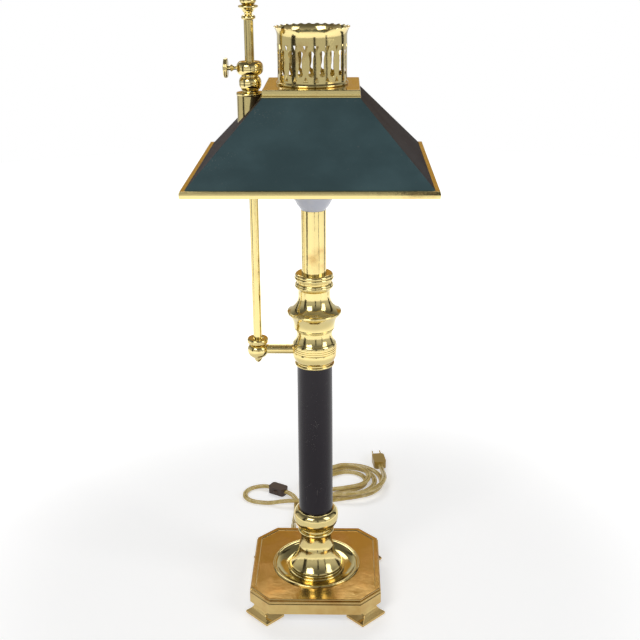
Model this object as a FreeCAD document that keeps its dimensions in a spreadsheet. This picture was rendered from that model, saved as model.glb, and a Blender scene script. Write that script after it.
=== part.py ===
import FreeCAD, Part
import math
import os
import Sketcher

# Bouillotte lamp: a black column on an octagonal brass base carries a candle tube with its bulb.
# A side arm holds an upright rod, and a square pierced-crown shade slides and turns on that rod.
# All sizes are millimetres. The origin is on the column's axis, on the surface the lamp stands on.

doc = FreeCAD.newDocument("bouillotte_lamp")
sheet = doc.addObject("Spreadsheet::Sheet", "Sizes")

# Driving dimensions: name and value. Heights are lengths of a piece, not places, unless the name says so.
DIMENSIONS = {
    # Base
    "foot_height": 15.5,
    "foot_top_width": 22.0,
    "foot_top_depth": 14.0,
    "foot_end_flare": 10.2,
    "foot_out_flare": 6.1,
    "base_half": 85.0,
    "base_cut": 26.5,
    "shell_wall": 2.2,
    "fascia_height": 15.0,
    "moulding_height": 6.8,
    "moulding_inset": 1.6,
    "moulding_groove": 1.0,
    "border_width": 5.5,
    "border_drop": 1.0,
    "cover_thickness": 1.5,
    "cover_gap": 0.3,
    "boss_radius": 5.0,
    "foot_screw_radius": 2.0,
    "foot_screw_head_radius": 4.0,
    "foot_screw_head_height": 2.4,
    "foot_screw_length": 24.0,
    "screw_gap": 0.15,
    "weight_radius": 52.0,
    "weight_bore": 18.0,
    "weight_height": 11.5,
    "wire_slot_width": 9.0,
    # Dish and trumpet
    "dish_radius": 58.0,
    "dish_bead": 4.0,
    "dish_rise": 2.1,
    "dish_drop": 5.3,
    "dish_floor_radius": 39.0,
    "dish_wall": 1.2,
    "plinth_radius": 37.0,
    "plinth_height": 3.0,
    "bell_radius": 34.9,
    "bell_lip": 2.6,
    "trumpet_height": 61.0,
    "trumpet_shoulder_radius": 22.7,
    "trumpet_shoulder_height": 32.5,
    "trumpet_neck_radius": 20.2,
    "trumpet_neck_height": 48.0,
    "trumpet_ring_radius": 22.2,
    "trumpet_ring_height": 4.2,
    "trumpet_wall": 2.4,
    # Column and its cup
    "cup_height": 27.5,
    "cup_radius": 29.2,
    "cup_widest_height": 17.0,
    "cup_foot_radius": 21.3,
    "cup_lip_radius": 24.4,
    "column_radius": 22.0,
    "column_wall": 1.5,
    "column_seat": 9.5,
    "column_show": 205.5,
    "slip_gap": 0.1,
    # Collar under the candle
    "collar_height": 45.0,
    "collar_ring_radius": 23.4,
    "collar_ring_step": 0.5,
    "collar_ring_height": 3.2,
    "collar_bulge_radius": 27.4,
    "collar_bulge_height": 22.7,
    "collar_band": 7.5,
    "collar_groove": 0.8,
    "collar_shoulder_drop": 2.4,
    "collar_shoulder_rise": 4.6,
    "collar_waist_radius": 21.6,
    "collar_web": 6.5,
    "collar_bore": 19.0,
    "collar_seat": 8.0,
    # Candle cup
    "candle_cup_height": 74.0,
    "candle_cup_foot_radius": 22.4,
    "candle_step": 1.1,
    "candle_step_height": 1.6,
    "pan_radius": 32.9,
    "pan_height": 24.5,
    "pan_edge": 3.2,
    "candle_neck_radius": 19.6,
    "candle_neck_height": 53.0,
    "candle_bead_radius": 22.9,
    "candle_bead_height": 5.4,
    "candle_groove_radius": 21.2,
    "candle_cup_bore": 14.2,
    "candle_cup_web": 4.0,
    "tube_radius": 15.0,
    "tube_wall": 1.0,
    "tube_seat": 10.0,
    "tube_show": 78.3,
    # Tie rod, nuts and the lampholder
    "tie_radius": 5.0,
    "tie_bore": 3.5,
    "tie_tail": 7.0,
    "nut_radius": 9.0,
    "nut_height": 5.5,
    "washer_radius": 12.0,
    "washer_height": 1.5,
    "holder_radius": 13.75,
    "holder_wall": 0.6,
    "holder_drop": 2.0,
    "holder_height": 61.0,
    "holder_floor": 12.0,
    "shell_thread_radius": 13.1,
    "shell_thread_wall": 0.4,
    "shell_thread_height": 40.0,
    "contact_radius": 3.5,
    # Bulb
    "cap_radius": 12.6,
    "cap_height": 24.5,
    "cap_tip_radius": 4.5,
    "cap_tip_height": 2.5,
    "bulb_gap": 0.3,
    "bulb_foot_radius": 15.0,
    "bulb_neck_radius": 19.3,
    "bulb_neck_height": 6.0,
    "bulb_radius": 30.0,
    "bulb_body_height": 30.0,
    "bulb_wall": 1.4,
    "board_radius": 25.2,
    "board_thickness": 1.6,
    # Side arm and guide rod
    "rod_offset": 70.1,
    "rod_radius": 5.3,
    "rod_spigot_radius": 3.5,
    "rod_length": 382.0,
    "rod_tenon": 7.0,
    "arm_radius": 6.0,
    "arm_spigot_radius": 3.4,
    "arm_nut_radius": 6.2,
    "arm_nut_height": 3.5,
    "arm_nut_set_in": 1.2,
    "pole_flat": 0.8,
    "arm_lower": 3.4,
    "ball_radius": 12.9,
    "ball_half_height": 10.8,
    "ball_neck_radius": 6.8,
    "ring_radius": 12.8,
    "ring_height": 6.8,
    "tip_radius": 5.2,
    "tip_length": 7.5,
    "finial_bead_radius": 7.4,
    "finial_neck_radius": 4.4,
    "finial_cup_radius": 10.8,
    "finial_cup_height": 14.0,
    "finial_bulge_radius": 9.0,
    "finial_tip_radius": 4.0,
    "finial_height": 43.0,
    # Clamp head and thumbscrew
    "head_place": 658.2,
    "head_flange_radius": 15.6,
    "head_flange_height": 3.0,
    "head_waist_radius": 9.2,
    "urn_radius": 12.4,
    "urn_height": 13.4,
    "head_neck_radius": 9.6,
    "head_neck_height": 20.4,
    "head_ball_radius": 14.9,
    "head_ball_height": 29.7,
    "head_ball_half": 7.2,
    "running_gap": 0.05,
    "spigot_radius": 8.6,
    "swivel_ring_radius": 12.0,
    "swivel_ring_height": 4.0,
    "swivel_gap": 0.3,
    "screw_radius": 2.0,
    "screw_reach": 16.8,
    "screw_tip_gap": 0.1,
    "screw_collar_radius": 4.1,
    "screw_collar_length": 3.6,
    "screw_grip_start": 24.8,
    "screw_grip_radius": 10.7,
    "screw_grip_thickness": 4.4,
    # Shade
    "sleeve_radius": 15.5,
    "sleeve_wall": 1.0,
    "sleeve_length": 56.0,
    "sleeve_bush_length": 9.0,
    "rim_place": 571.0,
    "rim_height": 8.0,
    "rim_overhang": 5.4,
    "rim_ledge": 6.0,
    "rim_wall": 1.3,
    "rim_bow": 0.5,
    "panel_foot_half": 130.6,
    "panel_head_half": 52.6,
    "panel_height": 83.5,
    "panel_inset": 1.4,
    "window_gap": 0.5,
    "plate_overhang": 0.7,
    "plate_height": 8.1,
    "plate_line": 0.7,
    "plate_wall": 2.0,
    "vent_radius": 30.0,
    "gallery_radius": 39.0,
    "gallery_wall": 0.9,
    "gallery_height": 62.3,
    "gallery_rim_radius": 42.5,
    "gallery_foot_radius": 39.9,
    "gallery_foot_height": 4.0,
    "motif_count": 20,
    "slot_low": 11.0,
    "slot_high": 39.5,
    "slot_lobe_radius": 3.2,
    "slot_waist": 3.8,
    "triangle_width": 5.4,
    "triangle_height": 6.2,
    "triangle_top": 44.5,
    "triangle_bottom": 6.0,
    "scallop_count": 28,
    "scallop_depth": 1.0,
    "bracket_width": 16.0,
    "bracket_thickness": 2.5,
    "bracket_leg": 44.5,
    "bracket_reach": 12.0,
    "bracket_drop": 33.0,
    # Cord, in-line switch and plug
    "cord_radius": 3.25,
    "wire_radius": 1.5,
    "exit_height": 23.0,
    "exit_aside": 36.0,
    "bush_radius": 4.6,
    "bush_flange_radius": 6.6,
    "bush_flange": 1.6,
    "bush_length": 10.0,
    "bush_tip_radius": 4.0,
    "switch_length": 28.0,
    "switch_width": 17.0,
    "switch_height": 12.0,
    "switch_wheel_radius": 6.5,
    "switch_wheel_height": 3.6,
    "switch_wheel_proud": 1.6,
    "switch_pin_radius": 1.2,
    "plug_length": 30.0,
    "plug_width": 20.0,
    "plug_height": 13.0,
    "blade_length": 16.0,
    "blade_width": 6.3,
    "blade_thickness": 1.5,
    "blade_spread": 12.7,
}
for row, (name, value) in enumerate(DIMENSIONS.items(), start=1):
    sheet.set("A%d" % row, name)
    sheet.set("B%d" % row, str(value))
    sheet.setAlias("B%d" % row, name)
doc.recompute()


class Length:
    """A number with the expression that gives it, so a place is worked out once for both uses."""

    def __init__(self, value, text):
        self.value = value
        self.text = text

    def join(self, other, sign, value):
        text = other.text if isinstance(other, Length) else repr(float(other))
        return Length(value, "(%s %s %s)" % (self.text, sign, text))

    def __add__(self, other):
        return self.join(other, "+", self.value + number(other))

    def __sub__(self, other):
        return self.join(other, "-", self.value - number(other))

    def __mul__(self, other):
        return self.join(other, "*", self.value * number(other))

    def __truediv__(self, other):
        return self.join(other, "/", self.value / number(other))

    def __neg__(self):
        return self * -1.0


def number(value):
    return value.value if isinstance(value, Length) else float(value)


def size(name):
    return Length(float(sheet.get(name)), "Sizes." + name)


AXIS = Length(0.0, "")
built = {}


# Shared builders


def origin_plane(body, role):
    return next(item for item in body.Origin.OriginFeatures if item.Role == role)


def hold_point(sketch, curve, end, place):
    """Pins one point of a sketch to its two coordinates, or to an axis where a coordinate is zero."""
    for way, coordinate, axis in (("DistanceX", place[0], -2), ("DistanceY", place[1], -1)):
        if coordinate.text:
            held = sketch.addConstraint(Sketcher.Constraint(way, curve, end, coordinate.value))
            sketch.setExpression("Constraints[%d]" % held, coordinate.text)
        else:
            sketch.addConstraint(Sketcher.Constraint("PointOnObject", curve, end, axis))


def end_order(sketch, curve, start):
    """The arc with its two ends in drawing order, because an arc keeps its own direction."""
    first = sketch.getPoint(curve, 1).distanceToPoint(start)
    second = sketch.getPoint(curve, 2).distanceToPoint(start)
    return (curve, 1, 2) if first < second else (curve, 2, 1)


def turned(label, outline, across=None):
    """One turned piece. The outline goes up its outer side and down its inner side: radius, height
    and bend to the next point, a share of the chord, positive where the stretch swells outwards."""
    body = doc.addObject("PartDesign::Body", label)
    body.Label = label
    sketch = body.newObject("Sketcher::SketchObject", label + "_outline")
    sketch.AttachmentSupport = [(origin_plane(body, "XZ_Plane"), "")]
    sketch.MapMode = "FlatFace"
    ends = []
    for index, (radius, height, bend) in enumerate(outline):
        next_radius, next_height, _ = outline[(index + 1) % len(outline)]
        start = FreeCAD.Vector(radius.value, height.value, 0)
        stop = FreeCAD.Vector(next_radius.value, next_height.value, 0)
        if not bend:
            curve = sketch.addGeometry(Part.LineSegment(start, stop), False)
            ends.append((curve, 1, 2))
            continue
        middle_radius = (radius + next_radius) / 2 + (next_height - height) * bend
        middle_height = (height + next_height) / 2 - (next_radius - radius) * bend
        if not radius.text:
            middle_radius = next_radius / 2 + (next_height - height) * bend
            middle_height = (height + next_height) / 2 - next_radius * bend
        elif not next_radius.text:
            middle_radius = radius / 2 + (next_height - height) * bend
            middle_height = (height + next_height) / 2 + radius * bend
        middle = FreeCAD.Vector(middle_radius.value, middle_height.value, 0)
        curve = sketch.addGeometry(Part.Arc(start, middle, stop), False)
        ends.append(end_order(sketch, curve, start))
        guide = sketch.addGeometry(Part.Point(middle), True)
        hold_point(sketch, guide, 1, (middle_radius, middle_height))
        sketch.addConstraint(Sketcher.Constraint("PointOnObject", guide, 1, curve))
    for index, (curve, begin, finish) in enumerate(ends):
        follower = ends[(index + 1) % len(ends)]
        sketch.addConstraint(Sketcher.Constraint("Coincident", curve, finish, follower[0], follower[1]))
        hold_point(sketch, curve, begin, outline[index][:2])
    turn = body.newObject("PartDesign::Revolution", label + "_turn")
    turn.Profile = sketch
    turn.ReferenceAxis = (sketch, ["V_Axis"])
    turn.Angle = 360
    if across is not None:
        body.setExpression("Placement.Base.x", across.text)
    built[label] = body
    return body


def shaped(label, shape):
    """A piece whose faces are worked out from the sheet's sizes."""
    piece = doc.addObject("Part::Feature", label)
    piece.Label = label
    piece.Shape = shape
    built[label] = piece


def mitred(profile, ring):
    """A solid with flat mitred sides: the profile's half-widths and heights go round a ring of corners."""
    faces = []
    rings = [[FreeCAD.Vector(x, y, height) for x, y in ring(half)] for half, height in profile]
    for index, lower in enumerate(rings):
        upper = rings[(index + 1) % len(rings)]
        count = len(lower)
        for side in range(count):
            after = (side + 1) % count
            corners = [lower[side], lower[after], upper[after], upper[side]]
            faces.append(Part.Face(Part.makePolygon(corners + [corners[0]])))
    return Part.Solid(Part.Shell(faces))


def stacked(profile, ring):
    """A solid block through the same rings, closed at its lowest and highest ring."""
    faces = []
    rings = [[FreeCAD.Vector(x, y, height) for x, y in ring(half)] for half, height in profile]
    for lower, upper in zip(rings, rings[1:]):
        count = len(lower)
        for side in range(count):
            after = (side + 1) % count
            corners = [lower[side], lower[after], upper[after], upper[side]]
            faces.append(Part.Face(Part.makePolygon(corners + [corners[0]])))
    for end in (rings[0], rings[-1]):
        faces.append(Part.Face(Part.makePolygon(end + [end[0]])))
    solid = Part.Solid(Part.Shell(faces))
    if solid.Volume < 0:
        solid.reverse()
    return solid


def square(half):
    return [(half, half), (-half, half), (-half, -half), (half, -half)]


def block(low, high):
    spans = [upper - lower for lower, upper in zip(low, high)]
    return Part.makeBox(spans[0], spans[1], spans[2], FreeCAD.Vector(*low))


def pin(radius, length, start, direction=(0, 0, 1)):
    return Part.makeCylinder(radius, length, FreeCAD.Vector(*start), FreeCAD.Vector(*direction))


# Heights of the stack on the column's axis

fascia_foot = size("foot_height")
border_foot = fascia_foot + size("fascia_height")
border_top = border_foot + size("moulding_height")
table_top = border_top - size("border_drop")
dish_top = table_top + size("dish_rise")
dish_floor = table_top - size("dish_drop")
plinth_top = dish_floor + size("plinth_height")
trumpet_top = plinth_top + size("trumpet_height")
cup_top = trumpet_top + size("cup_height")
column_foot = cup_top - size("column_seat")
collar_foot = cup_top + size("column_show")
collar_top = collar_foot + size("collar_height")
candle_cup_top = collar_top + size("candle_cup_height")
tube_foot = candle_cup_top - size("tube_seat")
tube_top = candle_cup_top + size("tube_show")
tie_bore_fit = size("tie_radius") + size("slip_gap")

# Base: an octagon of four sides and four cants


def octagon(half):
    """Corners of the base's outline at any half-width, with the cants moved in by the same amount."""
    full = number(size("base_half"))
    cut = number(size("base_cut")) - (full - half) * (2 - math.sqrt(2))
    side = half - cut
    return [(half, side), (side, half), (-side, half), (-half, side),
            (-half, -side), (-side, -half), (side, -half), (half, -side)]


def base_shell():
    half = number(size("base_half"))
    wall = number(size("shell_wall"))
    inset = number(size("moulding_inset"))
    groove = number(size("moulding_groove"))
    foot = number(fascia_foot)
    shoulder = number(border_foot)
    top = number(border_top)
    rise = number(size("moulding_height"))
    border = half - inset - number(size("border_width"))
    drop = number(size("border_drop"))
    profile = [
        (half, foot),
        (half, shoulder - rise * 0.12),
        (half - groove, shoulder + rise * 0.04),
        (half - groove, shoulder + rise * 0.16),
        (half - inset * 0.35, shoulder + rise * 0.24),
        (half - inset * 0.1, shoulder + rise * 0.40),
        (half - inset * 0.45, shoulder + rise * 0.56),
        (half - inset - groove, shoulder + rise * 0.62),
        (half - inset - groove, shoulder + rise * 0.70),
        (half - inset, shoulder + rise * 0.80),
        (half - inset, top - rise * 0.08),
        (half - inset * 1.4, top),
        (border, top),
        (border - drop, top - drop),
    ]
    outer = stacked(profile, octagon)
    cavity = stacked([(half - wall, foot - wall), (half - wall, top - drop - wall)], octagon)
    shell = outer.cut(cavity)
    hole = number(size("dish_radius")) - number(size("dish_bead")) + number(size("slip_gap"))
    shell = shell.cut(pin(hole, top, (0, 0, foot)))
    for place in foot_places():
        boss_foot = foot + number(size("cover_thickness")) + number(size("slip_gap"))
        boss_height = top - drop - wall - boss_foot
        boss = pin(number(size("boss_radius")), boss_height, (place[0], place[1], boss_foot))
        shell = shell.fuse(boss)
    for place in foot_places():
        bore = number(size("foot_screw_radius"))
        shell = shell.cut(pin(bore, screw_top() - foot, (place[0], place[1], foot)))
    bush_bore = number(size("bush_radius"))
    exit_place = (-number(size("exit_aside")), half - 1.5 * wall, number(size("exit_height")))
    shell = shell.cut(pin(bush_bore, 2 * wall, exit_place, (0, 1, 0)))
    shaped("base_shell", shell)


def foot_centre():
    """Distance from the axis to a foot's middle, out along the diagonal."""
    cant = (2 * number(size("base_half")) - number(size("base_cut"))) / math.sqrt(2)
    return cant - number(size("foot_top_depth")) / 2


def foot_places():
    reach = foot_centre() / math.sqrt(2)
    return [(-reach, -reach), (reach, -reach), (-reach, reach), (reach, reach)]


def screw_top():
    return number(size("foot_screw_length")) + number(size("foot_screw_head_height"))


FOOT_NAMES = ("foot_front_left", "foot_front_right", "foot_back_left", "foot_back_right")
# Height and spread of a foot's ogee, both as shares
FOOT_OGEE = ((0.0, 0.93), (0.14, 1.0), (0.24, 0.95), (0.40, 0.66), (0.58, 0.34), (0.78, 0.10), (1.0, 0.0))


def foot_shape(angle):
    """A flared block with an ogee on its sides; its outer face lies under the cant."""
    height = number(fascia_foot)
    out = number(size("foot_top_depth")) / 2
    across = number(size("foot_top_width")) / 2
    centre = foot_centre()

    def ring(spread):
        front = centre + out + spread * number(size("foot_out_flare"))
        back = centre - out - spread * number(size("foot_end_flare"))
        end = across + spread * number(size("foot_end_flare"))
        return [(front, -end), (front, end), (back, end), (back, -end)]

    foot = stacked([(spread, share * height) for share, spread in FOOT_OGEE], ring)
    gap = number(size("screw_gap"))
    foot = foot.cut(pin(number(size("foot_screw_radius")) + gap, height, (centre, 0, 0)))
    head_height = number(size("foot_screw_head_height"))
    foot = foot.cut(pin(number(size("foot_screw_head_radius")) + gap, 2 * head_height, (centre, 0, 0)))
    foot.rotate(FreeCAD.Vector(), FreeCAD.Vector(0, 0, 1), angle)
    return foot


def feet():
    for name, angle in zip(FOOT_NAMES, (225, 315, 135, 45)):
        shaped(name, foot_shape(angle))
    screws = []
    head_height = number(size("foot_screw_head_height"))
    for x, y in foot_places():
        head = pin(number(size("foot_screw_head_radius")), head_height, (x, y, head_height))
        shank = pin(number(size("foot_screw_radius")), screw_top() - head_height, (x, y, head_height))
        screws.append(head.fuse(shank))
    shaped("foot_screws", Part.Compound(screws))


def base_cover():
    half = number(size("base_half")) - number(size("shell_wall")) - number(size("cover_gap"))
    foot = number(fascia_foot)
    cover = stacked([(half, foot), (half, foot + number(size("cover_thickness")))], octagon)
    bore = number(size("foot_screw_radius")) + number(size("screw_gap"))
    for x, y in foot_places():
        cover = cover.cut(pin(bore, 2 * foot, (x, y, 0)))
    shaped("base_cover", cover)


def base_weight():
    """A cast ring on the cover, with a slot at the back for the wire."""
    foot = number(fascia_foot) + number(size("cover_thickness")) + number(size("slip_gap"))
    tall = number(size("weight_height"))
    ring = pin(number(size("weight_radius")), tall, (0, 0, foot))
    ring = ring.cut(pin(number(size("weight_bore")), tall, (0, 0, foot)))
    width = number(size("wire_slot_width")) / 2
    slot = block((-width, 0, foot - 1), (width, number(size("weight_radius")) + 1, foot + tall + 1))
    shaped("base_weight", ring.cut(slot))


# Turned pieces on the column's axis


def dish():
    bead = size("dish_bead")
    edge = size("dish_radius")
    wall = size("dish_wall")
    floor = size("dish_floor_radius")
    turned("base_dish", [
        (tie_bore_fit, dish_floor - wall, 0),
        (floor, dish_floor - wall, 0.12),
        (edge - bead, table_top - wall, 0),
        (edge - bead, table_top, 0),
        (edge, table_top, 0.45),
        (edge - bead * 0.8, dish_top - size("dish_rise") * 0.3, 0.1),
        (edge - bead * 1.6, table_top - wall * 0.2, -0.08),
        (floor, dish_floor, 0),
        (tie_bore_fit, dish_floor, 0),
    ])
    turned("plinth_ring", [
        (tie_bore_fit, dish_floor, 0),
        (size("plinth_radius"), dish_floor, 0.4),
        (size("plinth_radius") - 0.6, plinth_top, 0),
        (tie_bore_fit, plinth_top, 0),
    ])


def trumpet():
    wall = size("trumpet_wall")
    lip = size("bell_lip")
    ring = size("trumpet_ring_height")
    neck = size("trumpet_neck_radius")
    shoulder = size("trumpet_shoulder_radius")
    turned("trumpet", [
        (size("bell_radius") - wall * 1.5, plinth_top, 0),
        (size("bell_radius") - 0.4, plinth_top, 0.3),
        (size("bell_radius"), plinth_top + lip, 0.1),
        (size("bell_radius") - 1.2, plinth_top + lip * 2.6, -0.09),
        (shoulder, plinth_top + size("trumpet_shoulder_height"), -0.05),
        (neck, plinth_top + size("trumpet_neck_height"), -0.03),
        (neck + 0.5, trumpet_top - ring * 2, 0),
        (size("trumpet_ring_radius"), trumpet_top - ring * 1.6, 0.4),
        (size("trumpet_ring_radius"), trumpet_top - ring * 0.7, 0),
        (neck + 0.6, trumpet_top - ring * 0.6, 0),
        (neck + 0.6, trumpet_top, 0),
        (tie_bore_fit, trumpet_top, 0),
        (tie_bore_fit, trumpet_top - ring, 0),
        (neck - wall, trumpet_top - ring, 0),
        (neck - wall, plinth_top + size("trumpet_neck_height"), 0),
        (shoulder - wall, plinth_top + size("trumpet_shoulder_height"), 0),
    ])


def column_cup():
    socket = size("column_radius") + size("slip_gap")
    turned("column_cup", [
        (tie_bore_fit, trumpet_top, 0),
        (size("cup_foot_radius"), trumpet_top, 0.13),
        (size("cup_radius"), trumpet_top + size("cup_widest_height"), 0.16),
        (size("cup_lip_radius"), cup_top - 0.8, 0.3),
        (socket + 0.9, cup_top, 0),
        (socket, cup_top, 0),
        (socket, column_foot, 0),
        (tie_bore_fit, column_foot, 0),
    ])
    radius = size("column_radius")
    turned("column_tube", [
        (radius - size("column_wall"), column_foot, 0),
        (radius, column_foot, 0),
        (radius, collar_foot + size("collar_seat"), 0),
        (radius - size("column_wall"), collar_foot + size("collar_seat"), 0),
    ])


def collar():
    socket = size("column_radius") + size("slip_gap")
    ring = size("collar_ring_radius")
    bulge = size("collar_bulge_radius")
    groove = size("collar_groove")
    middle = collar_foot + size("collar_bulge_height")
    band = size("collar_band")
    web_foot = collar_top - size("collar_web")
    outline = [
        (socket, collar_foot, 0),
        (ring, collar_foot, 0.4),
        (ring, collar_foot + size("collar_ring_height"), 0),
        (ring - size("collar_ring_step"), collar_foot + size("collar_ring_height"), 0),
        (ring - size("collar_ring_step"), collar_foot + size("collar_ring_height") * 1.4, 0.12),
        (bulge - 0.3, middle - band / 2, 0),
    ]
    for step in range(3):
        low = middle - band / 2 + band * (step / 3)
        outline += [
            (bulge - groove, low + band * 0.03, 0),
            (bulge - groove, low + band * 0.10, 0),
            (bulge, low + band * 0.13, 0),
            (bulge, low + band * 0.33, 0),
        ]
    outline += [
        (bulge - 0.3, middle + band * 0.52, 0.12),
        (bulge - size("collar_shoulder_drop"), middle + band * 0.52 + size("collar_shoulder_rise"), -0.07),
        (size("collar_waist_radius"), collar_top - 2.5, 0),
        (size("collar_waist_radius") + groove, collar_top - 2.0, 0),
        (size("collar_waist_radius") + groove, collar_top, 0),
        (tie_bore_fit, collar_top, 0),
        (tie_bore_fit, web_foot, 0),
        (size("collar_bore"), web_foot, 0),
        (size("collar_bore"), collar_foot + size("collar_seat"), 0),
        (socket, collar_foot + size("collar_seat"), 0),
    ]
    turned("collar_body", outline)


def candle_cup():
    step = size("candle_step")
    rise = size("candle_step_height")
    foot = size("candle_cup_foot_radius")
    pan = collar_top + size("pan_height")
    neck = size("candle_neck_radius")
    bead = size("candle_bead_height")
    neck_top = collar_top + size("candle_neck_height")
    outline = [(tie_bore_fit, collar_top, 0)]
    for index in range(3):
        outline += [
            (foot + step * index, collar_top + rise * index, 0.3),
            (foot + step * index, collar_top + rise * (index + 0.8), 0),
        ]
    outline += [
        (foot + step * 2.6, collar_top + rise * 3.2, -0.1),
        (size("pan_radius") - 0.6, pan - size("pan_edge") / 2, 0.25),
        (size("pan_radius"), pan, 0.25),
        (size("pan_radius") - 0.8, pan + size("pan_edge") / 2, -0.16),
        (neck, neck_top - bead * 0.9, 0),
        (neck, neck_top, 0),
        (size("candle_groove_radius"), neck_top + bead * 0.4, 0.15),
        (size("candle_bead_radius"), neck_top + bead * 0.75, 0.25),
        (size("candle_bead_radius"), neck_top + bead * 1.3, 0.15),
        (size("candle_groove_radius"), neck_top + bead * 1.85, 0),
        (size("candle_groove_radius"), neck_top + bead * 2.1, 0.15),
        (size("candle_bead_radius"), neck_top + bead * 2.5, 0.25),
        (size("candle_bead_radius"), candle_cup_top - bead * 0.7, 0.3),
        (size("candle_groove_radius") - 1.2, candle_cup_top, 0),
        (size("tube_radius") + size("slip_gap"), candle_cup_top, 0),
        (size("tube_radius") + size("slip_gap"), tube_foot, 0),
        (size("candle_cup_bore"), tube_foot, 0),
        (size("candle_cup_bore"), collar_top + size("candle_cup_web"), 0),
        (tie_bore_fit, collar_top + size("candle_cup_web"), 0),
    ]
    turned("candle_cup", outline)
    outer = size("tube_radius")
    inner = outer - size("tube_wall")
    turned("candle_tube", [
        (inner, tube_foot, 0),
        (outer, tube_foot, 0),
        (outer, tube_top, 0),
        (inner, tube_top, 0),
    ])


# Tie rod, nuts and lampholder

tie_foot = dish_floor - size("dish_wall") - size("washer_height") - size("nut_height") - size("slip_gap")
holder_foot = tube_top - size("holder_drop") - size("holder_height")
tie_top = holder_foot + size("holder_floor") / 2


def nut(label, foot):
    """A hexagon nut on the tie rod."""
    corners = [(number(size("nut_radius")) * math.cos(turn * math.pi / 3),
                number(size("nut_radius")) * math.sin(turn * math.pi / 3)) for turn in range(6)]
    tall = number(size("nut_height"))
    body = stacked([(1, number(foot)), (1, number(foot) + tall)], lambda half: corners)
    shaped(label, body.cut(pin(number(size("tie_radius")), tall, (0, 0, number(foot)))))


def tie_rod():
    turned("tie_rod", [
        (size("tie_bore"), tie_foot, 0),
        (size("tie_radius"), tie_foot, 0),
        (size("tie_radius"), tie_top, 0),
        (size("tie_bore"), tie_top, 0),
    ])
    washer_top = dish_floor - size("dish_wall")
    turned("base_washer", [
        (size("tie_radius"), washer_top - size("washer_height"), 0),
        (size("washer_radius"), washer_top - size("washer_height"), 0),
        (size("washer_radius"), washer_top, 0),
        (size("tie_radius"), washer_top, 0),
    ])
    nut("base_nut", washer_top - size("washer_height") - size("nut_height"))
    nut("column_nut", collar_top + size("candle_cup_web"))


def lampholder():
    outer = size("holder_radius")
    inner = outer - size("holder_wall")
    floor = holder_foot + size("holder_floor")
    turned("lampholder", [
        (size("tie_radius"), holder_foot, 0),
        (outer - 2, holder_foot, 0),
        (outer, holder_foot + 2, 0),
        (outer, holder_foot + size("holder_height"), 0),
        (inner, holder_foot + size("holder_height"), 0),
        (inner, floor, 0),
        (size("tie_bore"), floor, 0),
        (size("tie_bore"), tie_top, 0),
        (size("tie_radius"), tie_top, 0),
    ])
    shell = size("shell_thread_radius")
    turned("screw_shell", [
        (size("contact_radius") + 1.5, floor, 0),
        (shell, floor, 0),
        (shell, floor + size("shell_thread_height"), 0),
        (shell - size("shell_thread_wall"), floor + size("shell_thread_height"), 0),
        (shell - size("shell_thread_wall"), floor + size("shell_thread_wall"), 0),
        (size("contact_radius") + 1.5, floor + size("shell_thread_wall"), 0),
    ])
    turned("centre_contact", [
        (size("wire_radius"), floor, 0),
        (size("contact_radius"), floor, 0),
        (size("contact_radius"), floor + 1.0, 0),
        (size("wire_radius") + 0.8, floor + 1.5, 0),
        (size("wire_radius") + 0.8, cap_foot - size("cap_tip_height"), 0),
        (size("wire_radius"), cap_foot - size("cap_tip_height"), 0),
    ])


bulb_foot = tube_top + size("bulb_gap")
cap_foot = bulb_foot - size("cap_height")
bulb_seam = bulb_foot + size("bulb_body_height")


def bulb():
    """A plastic-bodied lamp bulb: cap, tip, body, board and dome."""
    wall = size("bulb_wall")
    turned("bulb_cap", [
        (size("cap_radius") - 0.5, cap_foot, 0),
        (size("cap_radius"), cap_foot, 0),
        (size("cap_radius"), bulb_foot, 0),
        (size("cap_radius") - 0.5, bulb_foot, 0),
    ])
    turned("bulb_tip", [
        (AXIS, cap_foot - size("cap_tip_height"), 0),
        (size("cap_tip_radius"), cap_foot - size("cap_tip_height") / 2, 0),
        (size("cap_radius") - 0.5, cap_foot, 0),
        (size("cap_radius") - 0.5, cap_foot + 1.5, 0),
        (AXIS, cap_foot + 1.5, 0),
    ])
    turned("bulb_body", [
        (size("cap_radius") - 0.5, bulb_foot, 0),
        (size("bulb_foot_radius"), bulb_foot, 0),
        (size("bulb_neck_radius"), bulb_foot + size("bulb_neck_height"), 0.03),
        (size("bulb_radius") - 1.0, bulb_seam, 0),
        (size("bulb_radius") - 1.0 - wall, bulb_seam, -0.03),
        (size("bulb_neck_radius") - wall, bulb_foot + size("bulb_neck_height") * 1.1, 0),
        (size("cap_radius") - 0.5, bulb_foot + wall, 0),
    ])
    board = bulb_seam - size("board_thickness") * 2
    turned("led_board", [
        (AXIS, board, 0),
        (size("board_radius"), board, 0),
        (size("board_radius"), board + size("board_thickness"), 0),
        (AXIS, board + size("board_thickness"), 0),
    ])
    dome_middle = bulb_seam + size("bulb_radius") * 0.45
    dome_top = dome_middle + size("bulb_radius")
    turned("bulb_dome", [
        (size("bulb_radius") - 1.0 - wall, bulb_seam, 0),
        (size("bulb_radius") - 1.0, bulb_seam, 0.03),
        (size("bulb_radius"), dome_middle, 0.2071),
        (size("pole_flat"), dome_top, 0),
        (AXIS, dome_top, 0),
        (AXIS, dome_top - wall, 0),
        (size("pole_flat"), dome_top - wall, -0.2071),
        (size("bulb_radius") - wall, dome_middle, -0.03),
    ])


# Side arm, rod and finial

arm_axis = collar_foot + size("collar_bulge_height") - size("arm_lower")
rod_across = -size("rod_offset")
ball_top = arm_axis + size("ball_half_height")
ring_foot = arm_axis + size("ball_half_height") * 0.75
ring_top = ring_foot + size("ring_height")
rod_seat = ring_foot + size("ring_height") * 0.4
rod_top = rod_seat + size("rod_length")


# How far the arm's shoulders stand inside the ball and the collar
BALL_SHOULDER = 1.4
COLLAR_SHOULDER = 1.6


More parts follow.
